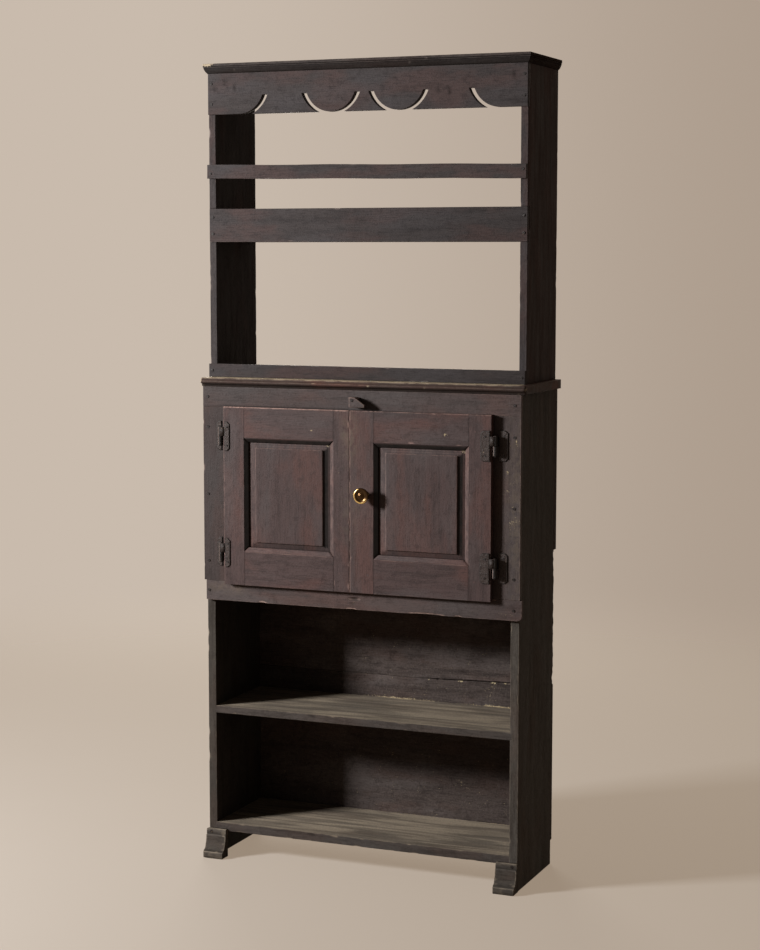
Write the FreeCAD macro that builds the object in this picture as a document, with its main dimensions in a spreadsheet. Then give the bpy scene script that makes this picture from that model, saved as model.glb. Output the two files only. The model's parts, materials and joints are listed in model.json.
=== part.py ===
"""Step back cupboard: an open plate rack standing on a shallow two-door cupboard
with open shelves below.  Units are millimetres, +Z is up, -Y is the front.

Every size is a cell of the spreadsheet "dims".  Places are written from the middle
of the case (x = 0) and the front edges of the case sides (y = 0); each piece is then
carried to the model's origin, the middle of the underside of the bounding box.
"""
import FreeCAD, Part
import math
import os
import Sketcher

doc = FreeCAD.newDocument("step_back_cupboard")
sheet = doc.addObject("Spreadsheet::Sheet", "dims")

DIMS = [
    # whole piece
    ("overall_height", 2000, "floor to the top of the cornice"),
    ("case_width", 832, "over the lower case sides"),
    ("case_depth", 257, "front to back of the case sides"),
    ("case_side_thk", 22, "case side boards"),
    ("waist_height", 1226, "floor to the top of the waist board"),
    ("waist_thk", 22, "waist board"),
    ("waist_nose", 10, "nose of the waist board in front of the face frame"),
    ("waist_over_left", 3, "waist board past the frame, left end"),
    ("waist_over_right", 12, "waist board past the frame, right end"),
    # plate rack
    ("rack_over", 2, "rack sides outside the case sides, each end"),
    ("rack_setback", 31, "rack side front edges behind the case front edges"),
    ("rack_side_thk", 18, "rack side boards"),
    ("rack_top_thk", 18, "board closing the top of the rack"),
    ("frieze_drop", 124, "height of the pierced frieze board"),
    ("frieze_thk", 16, "frieze board"),
    ("frieze_proud", 4, "frieze face in front of the side edges"),
    ("lobe_radius", 67.5, "round drops of the frieze"),
    ("lobe_spacing", 177, "between the two middle drops"),
    ("lobe_shift", 3.5, "the two middle drops right of the middle"),
    ("left_lobe_inset", 86, "left end of the frieze to the centre of its end drop"),
    ("right_lobe_inset", 69, "right end of the frieze to the centre of its end drop"),
    ("slot_radius", 82, "outer edge of the slots round a drop"),
    ("slot_rise", 6.5, "centre of the outer edge above the centre of the drop"),
    ("slot_height", 46, "top ends of the slots above the frieze underside"),
    ("cornice_height", 24, "cornice moulding"),
    ("cornice_proud", 9.5, "cornice in front of the frieze"),
    ("shelf_rail_base", 1562, "underside of the broad rail and its plate shelf"),
    ("shelf_rail_height", 82, "broad rail in front of the plate shelf"),
    ("shelf_rail_thk", 16, "broad rail"),
    ("shelf_rail_proud", 1, "broad rail in front of the side edges"),
    ("plate_shelf_thk", 16, "shelf behind the broad rail"),
    ("guard_rail_middle", 1731, "mid height of the plate guard rail"),
    ("guard_rail_height", 34, "plate guard rail"),
    ("guard_rail_thk", 12, "plate guard rail"),
    ("guard_rail_tilt", 0.6, "degrees by which its left end stands high"),
    ("base_rail_height", 33, "rail at the foot of the rack"),
    ("base_rail_thk", 10, "rail at the foot of the rack"),
    # face frame
    ("frame_over_left", 2, "face frame past the case side, left"),
    ("frame_over_right", 5, "face frame past the case side, right"),
    ("frame_thk", 13, "face frame boards"),
    ("top_rail_height", 51, "rail over the doors"),
    ("bottom_rail_base", 665, "underside of the rail below the doors"),
    ("bottom_rail_height", 50, "rail below the doors"),
    ("bottom_rail_shift", 5, "bottom rail further right than the frame"),
    ("opening_inset", 73, "outside of the case to each side of the door opening"),
    # shelves and back
    ("floor_below_rail", 5, "cupboard floor under the top of the bottom rail"),
    ("cupboard_floor_thk", 18, "cupboard floor"),
    ("open_shelf_height", 391, "floor to the top of the open shelf"),
    ("open_shelf_thk", 19, "open shelf"),
    ("bottom_board_height", 88, "floor to the top of the bottom board"),
    ("bottom_board_thk", 22, "bottom board"),
    ("housing_depth", 6, "shelf ends let into the sides"),
    ("housing_play", 0.2, "slack of a shelf end in its housing, each way"),
    ("back_base", 61, "floor to the underside of the back boards"),
    ("back_low_split", 449, "joint between the two lower back boards"),
    ("back_high_split", 800, "joint under the heavy upper back board"),
    ("back_over", 5, "back boards above the underside of the waist board"),
    ("back_thin", 10, "two lower back boards"),
    ("back_thick", 24, "upper back board"),
    ("back_gap", 1.5, "shrinkage gap between back boards"),
    # feet
    ("foot_width", 54, "moulded foot blocks"),
    ("foot_height", 72, "moulded foot blocks"),
    ("foot_reach", 34, "toe of a foot in front of the case sides"),
    ("foot_top_reach", 12, "top of a foot in front of the case sides"),
    ("foot_over", 2, "foot outside the case side"),
    ("foot_toe", 17, "height of the upright toe"),
    ("foot_neck", 14, "height of the upright band at the top"),
    # doors
    ("door_thk", 17, "door stiles and rails"),
    ("door_gap", 0.4, "door back in front of the face frame"),
    ("door_lap_side", 10, "door over a frame stile"),
    ("door_lap_top", 3, "door over the top rail"),
    ("door_lap_bottom", 5, "door over the bottom rail"),
    ("meeting_line", -12.25, "middle of the gap between the doors"),
    ("meeting_gap", 1.5, "gap between the doors"),
    ("hinge_stile", 56, "stile at the hinges"),
    ("left_meeting_stile", 41, "left door's stile at the meeting line"),
    ("right_meeting_stile", 63, "right door's stile at the meeting line"),
    ("door_top_rail", 76, "door top rail"),
    ("door_bottom_rail", 85, "door bottom rail"),
    ("mould_width", 11, "mitred bevel on the inner edges of the door frame"),
    ("mould_depth", 5, "fall of that bevel behind the door face"),
    ("panel_rim_recess", 9, "panel rim behind the stile faces"),
    ("panel_field_recess", 3, "raised field behind the stile faces"),
    ("panel_step", 3.8, "little step round the raised field"),
    ("panel_side_margin", 19.5, "sunk margin of the panel beside the raised field"),
    ("panel_end_margin", 13.5, "sunk margin of the panel above and below the field"),
    ("tongue_thk", 5, "panel edges and rail tenons"),
    ("groove_depth", 10, "groove for the panel"),
    ("groove_play", 0.3, "slack of a panel or tenon, each way"),
    ("tenon_reach", 34, "tenon length"),
    ("tenon_inset", 8, "tenon back from the inner edge of its rail"),
    ("tenon_shoulder", 14, "tenon back from the outer edge of its rail"),
    ("peg_radius", 3, "pegs through the tenons"),
    ("peg_back", 15, "peg centre back from the shoulder"),
    # hinges
    ("hinge_height", 74, "leaf of a door hinge"),
    ("hinge_below_top", 74, "upper hinge middle below the top of the door"),
    ("hinge_above_base", 80, "lower hinge middle above the door's lower edge"),
    ("hinge_offset", 9.5, "hinge pin outside the door's edge"),
    ("leaf_thk", 2, "hinge plate"),
    ("leaf_chamfer", 7, "clipped outer corners of a leaf"),
    ("wide_leaf", 24, "leaves of the right hinges"),
    ("narrow_leaf", 14, "leaves of the left hinges"),
    ("leaf_edge", 3, "door leaf plate back from the door's edge"),
    ("knuckle_radius", 5.5, "hinge barrel"),
    ("knuckle_height", 23.4, "each of the two knuckles of a hinge"),
    ("knuckle_gap", 0.3, "between the two knuckles"),
    ("hinge_pin_radius", 2.6, "hinge pin"),
    ("pin_clearance", 0.06, "all turning pins in their holes"),
    ("pin_cap", 1.2, "pin past the knuckles"),
    # nails
    ("nail_radius", 1.4, "shank of a wrought nail"),
    ("nail_clearance", 0.05, "nail in its hole"),
    ("nail_head_radius", 3.4, "nail head"),
    ("nail_head_thk", 1.1, "nail head"),
    ("nail_reach", 34, "nail into the second board"),
    ("leaf_nail_radius", 1.2, "shank of a hinge nail"),
    ("leaf_nail_head_radius", 2.6, "head of a hinge nail"),
    ("leaf_nail_length", 9, "hinge nail under its head"),
    ("leaf_nail_spread", 23, "hinge nails above and below the hinge middle"),
    # knob and latch
    ("knob_inset", 40.5, "knob from the right door's meeting edge"),
    ("knob_lift", 19, "knob above the mid height of the door"),
    ("knob_radius", 19.5, "knob head"),
    ("knob_reach", 29, "knob in front of the door"),
    ("knob_neck_radius", 6, "neck of the knob"),
    ("rose_radius", 11, "rose plate behind the knob"),
    ("rose_thk", 2, "rose plate"),
    ("rose_gap", 0.3, "knob in front of its rose"),
    ("spindle_radius", 3.2, "spindle through the door"),
    ("spindle_tail", 3, "spindle past the latch tongue"),
    ("tongue_length", 52, "latch tongue past the spindle"),
    ("tongue_width", 14, "latch tongue"),
    ("latch_thk", 3, "latch tongue"),
    ("latch_gap", 0.4, "latch tongue behind the door"),
    # turn button
    ("button_shift", 10.25, "button pivot right of the meeting line"),
    ("button_rise_on_rail", 28, "button pivot above the underside of the top rail"),
    ("button_tip", 33, "pivot to the tip"),
    ("button_tail", 8, "pivot to the square end"),
    ("button_drop", 17, "pivot to the straight lower edge"),
    ("button_rise", 7, "pivot to the top edge"),
    ("button_nose", 7, "height of the tip"),
    ("button_shoulder", 8, "pivot to the start of the taper"),
    ("button_foot", 12, "pivot to the undercut"),
    ("button_arm_thk", 7, "arm in front of the doors"),
    ("button_gap", 0.6, "arm in front of the door face"),
    ("button_rub", 0.3, "button in front of the frame"),
    ("button_nail_radius", 2, "nail the button turns on"),
    ("button_nail_grip", 11, "button nail in the top rail"),
]


class Size:
    """A length that knows both its value and its expression in the sheet."""

    def __init__(self, value, text):
        self.value = value
        self.text = text

    def __add__(self, other):
        other = sized(other)
        return Size(self.value + other.value, f"({self.text} + {other.text})")

    def __radd__(self, other):
        return sized(other) + self

    def __sub__(self, other):
        other = sized(other)
        return Size(self.value - other.value, f"({self.text} - {other.text})")

    def __rsub__(self, other):
        return sized(other) - self

    def __mul__(self, factor):
        return Size(self.value * factor, f"({self.text} * {factor})")

    __rmul__ = __mul__

    def __truediv__(self, divisor):
        return Size(self.value / divisor, f"({self.text} / {divisor})")

    def __neg__(self):
        return Size(-self.value, f"(0 - {self.text})")


def sized(number):
    return number if isinstance(number, Size) else Size(number, f"({number})")


for row, (alias, number, meaning) in enumerate(DIMS, start=1):
    sheet.set(f"A{row}", alias)
    sheet.set(f"B{row}", str(number))
    sheet.set(f"C{row}", meaning)
    sheet.setAlias(f"B{row}", alias)
doc.recompute()

D = {alias: Size(number, f"dims.{alias}") for alias, number, meaning in DIMS}
NOTHING = Size(0, "0")

# ---------------------------------------------------------------- derived places
case_half = D["case_width"] / 2
case_inner = case_half - D["case_side_thk"]
rack_half = case_half + D["rack_over"]
rack_inner = rack_half - D["rack_side_thk"]
frame_left = -(case_half + D["frame_over_left"])
frame_right = case_half + D["frame_over_right"]
opening_half = case_half - D["opening_inset"]
frame_face = -D["frame_thk"]
waist_under = D["waist_height"] - D["waist_thk"]
waist_left = frame_left - D["waist_over_left"]
waist_right = frame_right + D["waist_over_right"]
waist_front = frame_face - D["waist_nose"]
top_rail_base = waist_under - D["top_rail_height"]
bottom_rail_top = D["bottom_rail_base"] + D["bottom_rail_height"]
floor_top = bottom_rail_top - D["floor_below_rail"]
rack_front = D["rack_setback"]
frieze_front = rack_front - D["frieze_proud"]
frieze_back = frieze_front + D["frieze_thk"]
frieze_base = D["overall_height"] - D["frieze_drop"]
cornice_front_y = frieze_front - D["cornice_proud"]
cornice_half = rack_half + D["cornice_proud"]
cornice_base = D["overall_height"] - D["cornice_height"]
rack_side_top = D["overall_height"] - D["rack_top_thk"]
shelf_rail_front = rack_front - D["shelf_rail_proud"]
shelf_rail_back = shelf_rail_front + D["shelf_rail_thk"]
shelf_rail_top = D["shelf_rail_base"] + D["shelf_rail_height"]
door_back = frame_face - D["door_gap"]
door_face = door_back - D["door_thk"]
door_base = bottom_rail_top - D["door_lap_bottom"]
door_top = top_rail_base + D["door_lap_top"]
door_edge = opening_half + D["door_lap_side"]
left_door_end = D["meeting_line"] - D["meeting_gap"] / 2
right_door_end = D["meeting_line"] + D["meeting_gap"] / 2
groove_front = door_face + D["panel_rim_recess"]
groove_back = groove_front + D["tongue_thk"]
hinge_x = door_edge + D["hinge_offset"]
leaf_front = door_face - D["leaf_thk"]
hinge_y = leaf_front + D["knuckle_radius"]
frame_leaf_face = frame_face - D["leaf_thk"]
knob_front = door_face - D["knob_reach"]
back_plane = D["case_depth"]
back_rear = back_plane + D["back_thick"]
back_top = waist_under + D["back_over"]
knob_x = right_door_end + D["knob_inset"]
knob_z = (door_base + door_top) / 2 + D["knob_lift"]
button_x = D["meeting_line"] + D["button_shift"]
button_z = top_rail_base + D["button_rise_on_rail"]

# The origin is the middle of the underside of the box round the whole piece.
origin_x = (cornice_half - waist_right) / 2
origin_y = -(knob_front + back_rear + D["nail_head_thk"]) / 2

nodes = {}


# ---------------------------------------------------------------- small helpers
def span(first, second):
    return sorted((first, second), key=lambda size: size.value)


def bind(feature, **places):
    for name, size in places.items():
        feature.setExpression(name.replace("__", "."), sized(size).text)


def new_body(label):
    body = doc.addObject("PartDesign::Body", label)
    body.Label = label
    bind(body, Placement__Base__x=origin_x, Placement__Base__y=origin_y)
    nodes[label] = body
    return body


def brick(body, name, x, y, z, kind="Additive"):
    feature = body.newObject(f"PartDesign::{kind}Box", name)
    bind(feature, Length=x[1] - x[0], Width=y[1] - y[0], Height=z[1] - z[0])
    bind(feature, Placement__Base__x=x[0], Placement__Base__y=y[0], Placement__Base__z=z[0])
    return feature


def notch(body, name, x, y, z):
    return brick(body, name, x, y, z, kind="Subtractive")


ROTATIONS = {
    "+z": FreeCAD.Rotation(),
    "+y": FreeCAD.Rotation(FreeCAD.Vector(1, 0, 0), -90),
    "-y": FreeCAD.Rotation(FreeCAD.Vector(1, 0, 0), 90),
}


def rod(body, name, start, way, radius, length, kind="Additive"):
    feature = body.newObject(f"PartDesign::{kind}Cylinder", name)
    feature.Placement = FreeCAD.Placement(FreeCAD.Vector(), ROTATIONS[way])
    x, y, z = (sized(place) for place in start)
    bind(feature, Radius=radius, Height=length)
    bind(feature, Placement__Base__x=x, Placement__Base__y=y, Placement__Base__z=z)
    return feature


def hole(body, name, start, way, radius, length):
    return rod(body, name, start, way, radius, length, kind="Subtractive")


def board(label, x, y, z):
    body = new_body(label)
    brick(body, f"{label}_blank", x, y, z)
    return body


def arc_edge(begin, end, radius):
    """Arc from begin to end: radius > 0 turns left on the way, radius < 0 turns right."""
    chord = end - begin
    middle = (begin + end) * 0.5
    left = FreeCAD.Vector(-chord.y, chord.x, 0).normalize()
    rise = math.sqrt(radius ** 2 - (chord.Length / 2) ** 2)
    centre = middle + left * (rise if radius > 0 else -rise)
    first, last = (begin, end) if radius > 0 else (end, begin)
    angles = [math.atan2(p.y - centre.y, p.x - centre.x) for p in (first, last)]
    circle = Part.Circle(centre, FreeCAD.Vector(0, 0, 1), abs(radius))
    return Part.ArcOfCircle(circle, angles[0], angles[1])


def sketch_on(body, name, plane_role, offset=NOTHING):
    sketch = body.newObject("Sketcher::SketchObject", name)
    plane = next(o for o in body.Origin.OriginFeatures if o.Role == plane_role)
    sketch.AttachmentSupport = [(plane, "")]
    sketch.MapMode = "FlatFace"
    bind(sketch, AttachmentOffset__Base__z=offset)
    return sketch


def outline(sketch, corners):
    """Closed outline of (x, y) or (x, y, radius of the arc that leaves this corner)."""
    points = [FreeCAD.Vector(c[0].value, c[1].value, 0) for c in corners]
    count = len(corners)
    starts = []
    ends = []
    for index, corner in enumerate(corners):
        begin = points[index]
        end = points[(index + 1) % count]
        if len(corner) == 3:
            edge = sketch.addGeometry(arc_edge(begin, end, corner[2].value))
            starts.append((edge, 1 if corner[2].value > 0 else 2))
            ends.append((edge, 2 if corner[2].value > 0 else 1))
            turn = corner[2] if corner[2].value > 0 else -corner[2]
            tie = sketch.addConstraint(Sketcher.Constraint("Radius", edge, turn.value))
            sketch.setExpression(f"Constraints[{tie}]", turn.text)
        else:
            edge = sketch.addGeometry(Part.LineSegment(begin, end))
            starts.append((edge, 1))
            ends.append((edge, 2))
    for index, corner in enumerate(corners):
        edge, end_id = starts[index]
        sketch.addConstraint(Sketcher.Constraint("Coincident", *ends[index - 1], edge, end_id))
        for axis, place in (("DistanceX", corner[0]), ("DistanceY", corner[1])):
            fixed = Sketcher.Constraint(axis, -1, 1, edge, end_id, place.value)
            tie = sketch.addConstraint(fixed)
            sketch.setExpression(f"Constraints[{tie}]", place.text)


def pad(body, sketch, length, kind="Pad"):
    """Pad or Pocket towards the sketch's own normal."""
    feature = body.newObject(f"PartDesign::{kind}", f"{sketch.Name}_{kind.lower()}")
    feature.Profile = sketch
    feature.Reversed = kind == "Pocket"
    bind(feature, Length=length)
    sketch.Visibility = False
    return feature


def extruded(body, name, plane_role, offset, length, corners, kind="Pad"):
    sketch = sketch_on(body, name, plane_role, offset)
    outline(sketch, corners)
    return pad(body, sketch, length, kind)


# ---------------------------------------------------------------- nails
wood_nails = []


def nail_solid(name, start, way, radius, head_radius, head_thk, length):
    """A nail whose head sits at start; the shank goes the given way, the head the other."""
    other = {"+y": "-y", "-y": "+y"}[way]
    x, y, z = (sized(place) for place in start)
    bits = []
    for bit, turn, size, tall in (("shank", way, radius, length), ("head", other, head_radius, head_thk)):
        part = doc.addObject("Part::Cylinder", f"{name}_{bit}")
        part.Placement = FreeCAD.Placement(FreeCAD.Vector(), ROTATIONS[turn])
        bind(part, Radius=size, Height=tall)
        bind(part, Placement__Base__x=x + origin_x, Placement__Base__y=y + origin_y)
        bind(part, Placement__Base__z=z)
        bits.append(part)
    whole = doc.addObject("Part::MultiFuse", name)
    whole.Shapes = bits
    return whole


def nail(name, x, y, z, way, boards):
    """A wrought nail through the boards, with its hole in each of them."""
    x, y, z = sized(x), sized(y), sized(z)
    wood_nails.append(nail_solid(name, (x, y, z), way, D["nail_radius"], D["nail_head_radius"],
                                 D["nail_head_thk"], D["nail_reach"]))
    bore = D["nail_radius"] + D["nail_clearance"]
    for label in boards:
        hole(nodes[label], f"{name}_in_{label}", (x, y, z), way, bore, D["nail_reach"] + bore)


def group(label, solids):
    bundle = doc.addObject("Part::Compound", label)
    bundle.Label = label
    bundle.Links = solids
    nodes[label] = bundle


# ---------------------------------------------------------------- plate rack
def rack_sides():
    for side, sign in (("left", -1), ("right", 1)):
        label = f"rack_{side}_side"
        ends = span(rack_half * sign, rack_inner * sign)
        body = board(label, ends, (rack_front, back_plane), (D["waist_height"], rack_side_top))
        notch(body, f"{label}_frieze_notch", ends, (rack_front, frieze_back),
              (frieze_base, rack_side_top))
        notch(body, f"{label}_rail_notch", ends, (rack_front, shelf_rail_back),
              (D["shelf_rail_base"], shelf_rail_top))
        housing = span(rack_inner * sign, (rack_inner + D["housing_depth"]) * sign)
        notch(body, f"{label}_shelf_housing", housing, (shelf_rail_back, back_plane),
              (D["shelf_rail_base"], D["shelf_rail_base"] + D["plate_shelf_thk"] + D["housing_play"]))


def housed_shelf(label, inner, front, back, top, thk):
    reach = inner + D["housing_depth"] - D["housing_play"]
    return board(label, (-reach, reach), (front, back), (top - thk, top))


def rack_boards():
    board("rack_top_board", (-rack_half, rack_half), (frieze_back, back_plane),
          (rack_side_top, D["overall_height"]))
    board("shelf_front_rail", (-rack_half, rack_half), (shelf_rail_front, shelf_rail_back),
          (D["shelf_rail_base"], shelf_rail_top))
    housed_shelf("plate_shelf", rack_inner, shelf_rail_back, back_plane,
                 D["shelf_rail_base"] + D["plate_shelf_thk"], D["plate_shelf_thk"])
    board("rack_base_rail", (-rack_half, rack_half), (rack_front - D["base_rail_thk"], rack_front),
          (D["waist_height"], D["waist_height"] + D["base_rail_height"]))


def guard_rail():
    """The rail turns a little about its middle, so its left end stands higher."""
    body = new_body("guard_rail")
    half = D["guard_rail_height"] / 2
    brick(body, "guard_rail_blank", (-rack_half, rack_half),
          (rack_front - D["guard_rail_thk"], rack_front), (-half, half))
    body.Placement.Rotation = FreeCAD.Rotation(FreeCAD.Vector(0, 1, 0), 1)
    bind(body, Placement__Base__z=D["guard_rail_middle"])
    bind(body, Placement__Rotation__Angle=D["guard_rail_tilt"])


def slot_corners(centre, side):
    """One slot beside a drop: side -1 is left of the drop, +1 right of it."""
    drop_z = frieze_base + D["lobe_radius"]
    outer_z = drop_z + D["slot_rise"]
    top = frieze_base + D["slot_height"]

    def reach(radius, middle, level):
        rise = level.value - middle.value
        text = f"sqrt({radius.text} * {radius.text} - ({level.text} - {middle.text}) ^ 2)"
        return Size(math.sqrt(radius.value ** 2 - rise ** 2), text)

    inner_top = reach(D["lobe_radius"], drop_z, top)
    outer_top = reach(D["slot_radius"], outer_z, top)
    outer_low = reach(D["slot_radius"], outer_z, frieze_base)
    turn = D["slot_radius"] if side > 0 else -D["slot_radius"]
    back = -D["lobe_radius"] if side > 0 else D["lobe_radius"]
    return [
        (centre, frieze_base),
        (centre + outer_low * side, frieze_base, turn),
        (centre + outer_top * side, top),
        (centre + inner_top * side, top, back),
    ]


def frieze():
    body = board("frieze", (-rack_half, rack_half), (frieze_front, frieze_back),
                 (frieze_base, D["overall_height"]))
    drops = (D["left_lobe_inset"] - rack_half, D["lobe_shift"] - D["lobe_spacing"] / 2,
             D["lobe_shift"] + D["lobe_spacing"] / 2, rack_half - D["right_lobe_inset"])
    slots = [(drops[0], 1), (drops[1], -1), (drops[1], 1), (drops[2], -1), (drops[2], 1),
             (drops[3], -1)]
    for number, (centre, side) in enumerate(slots, start=1):
        extruded(body, f"frieze_slot_{number}", "XZ_Plane", -frieze_back, D["frieze_thk"],
                 slot_corners(centre, side), kind="Pocket")


def cornice_section(sign):
    """Fillet, bead and hollow, from the wall face outwards; sign turns it to its side."""
    top = D["overall_height"]
    high = D["cornice_height"]
    out = D["cornice_proud"]
    return [(0, top), (out, top), (out, top - high * 0.26), (out * 0.8, top - high * 0.28),
            (out * 0.8, top - high * 0.5), (out * 0.62, top - high * 0.54),
            (out * 0.12, top - high * 0.92), (0, top - high)]


def cornice():
    section = cornice_section(1)
    hollow = D["cornice_height"] * 0.52

    def corners(wall, way):
        spots = [(wall + sized(reach) * way, sized(level)) for reach, level in section]
        turn = hollow if way > 0 else -hollow
        spots[5] = (*spots[5], turn)
        return spots

    front = new_body("cornice_front")
    extruded(front, "cornice_front_section", "YZ_Plane", -cornice_half, cornice_half * 2,
             corners(frieze_front, -1))
    for side, sign in (("left", -1), ("right", 1)):
        wall = rack_half * sign
        tip = cornice_half * sign
        mitre = [(wall, frieze_front), (tip, cornice_front_y), (tip, frieze_front)]
        extruded(front, f"cornice_front_{side}_mitre", "XY_Plane", cornice_base,
                 D["cornice_height"], mitre, kind="Pocket")
        piece = new_body(f"cornice_{side}_return")
        extruded(piece, f"cornice_{side}_section", "XZ_Plane", -back_plane,
                 back_plane - cornice_front_y, corners(wall, sign))
        lead = [(wall, frieze_front), (tip, cornice_front_y), (wall, cornice_front_y)]
        extruded(piece, f"cornice_{side}_mitre", "XY_Plane", cornice_base,
                 D["cornice_height"], lead, kind="Pocket")


# ---------------------------------------------------------------- waist and case
def waist_board():
    body = new_body("waist_board")
    top = D["waist_height"]
    nose = D["waist_nose"]
    thk = D["waist_thk"]
    corners = [
        (back_plane, waist_under), (back_plane, top),
        (waist_front + nose * 0.3, top), (waist_front + nose * 0.15, top - thk * 0.06),
        (waist_front + nose * 0.15, top - thk * 0.14, thk * 0.5),
        (waist_front + nose * 0.2, top - thk * 0.62, thk * -0.62),
        (frame_face - nose * 0.1, top - thk * 0.96), (frame_face - nose * 0.1, waist_under),
    ]
    extruded(body, "waist_board_section", "YZ_Plane", waist_left, waist_right - waist_left, corners)


def case_sides():
    shelves = (
        ("floor", floor_top, D["cupboard_floor_thk"]),
        ("shelf", D["open_shelf_height"], D["open_shelf_thk"]),
        ("bottom", D["bottom_board_height"], D["bottom_board_thk"]),
    )
    for side, sign in (("left", -1), ("right", 1)):
        label = f"case_{side}_side"
        ends = span(case_half * sign, case_inner * sign)
        body = board(label, ends, (NOTHING, back_plane), (NOTHING, waist_under))
        housing = span(case_inner * sign, (case_inner + D["housing_depth"]) * sign)
        for name, top, thk in shelves:
            notch(body, f"{label}_{name}_housing", housing, (NOTHING, back_plane),
                  (top - thk, top + D["housing_play"]))


def case_boards():
    housed_shelf("cupboard_floor", case_inner, NOTHING, back_plane, floor_top,
                 D["cupboard_floor_thk"])
    housed_shelf("open_shelf", case_inner, NOTHING, back_plane, D["open_shelf_height"],
                 D["open_shelf_thk"])
    housed_shelf("bottom_board", case_inner, NOTHING, back_plane, D["bottom_board_height"],
                 D["bottom_board_thk"])
    backs = (
        ("back_board_lower", D["back_base"], D["back_low_split"] - D["back_gap"], D["back_thin"]),
        ("back_board_middle", D["back_low_split"], D["back_high_split"] - D["back_gap"], D["back_thin"]),
        ("back_board_upper", D["back_high_split"], back_top, D["back_thick"]),
    )
    for label, low, high, thk in backs:
        board(label, (-case_half, case_half), (back_plane, back_plane + thk), (low, high))


def face_frame():
    depth = (frame_face, NOTHING)
    board("frame_top_rail", (frame_left, frame_right), depth, (top_rail_base, waist_under))
    shift = D["bottom_rail_shift"]
    board("frame_bottom_rail", (frame_left + shift, frame_right + shift), depth,
          (D["bottom_rail_base"], bottom_rail_top))
    tall = (bottom_rail_top, top_rail_base)
    board("frame_left_stile", (frame_left, -opening_half), depth, tall)
    board("frame_right_stile", (opening_half, frame_right), depth, tall)


def feet():
    toe = -D["foot_reach"]
    neck = -D["foot_top_reach"]
    high = D["foot_height"]
    run = D["foot_reach"] - D["foot_top_reach"]
    hollow = run * 1.6
    corners = [
        (NOTHING, NOTHING), (NOTHING, high), (neck, high), (neck, high - D["foot_neck"]),
        (neck - run * 0.12, high - D["foot_neck"], -hollow),
        (toe + run * 0.12, D["foot_toe"]), (toe, D["foot_toe"] - run * 0.06), (toe, NOTHING),
    ]
    for side, start in (("left", -(case_half + D["foot_over"])),
                        ("right", case_half + D["foot_over"] - D["foot_width"])):
        body = new_body(f"{side}_foot")
        extruded(body, f"{side}_foot_section", "YZ_Plane", start, D["foot_width"], corners)


# ---------------------------------------------------------------- doors
def bevel_cut(body, name, opening_x, opening_z, sight_x, sight_z):
    """Plane the bevel on a frame piece, from the opening at the face down to the sight edge."""
    wedge = body.newObject("PartDesign::SubtractiveWedge", name)
    bind(wedge, Xmin=opening_x[0], Xmax=opening_x[1], Zmin=opening_z[0], Zmax=opening_z[1])
    bind(wedge, X2min=sight_x[0], X2max=sight_x[1], Z2min=sight_z[0], Z2max=sight_z[1])
    bind(wedge, Ymin=door_face, Ymax=door_face + D["mould_depth"])


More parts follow.
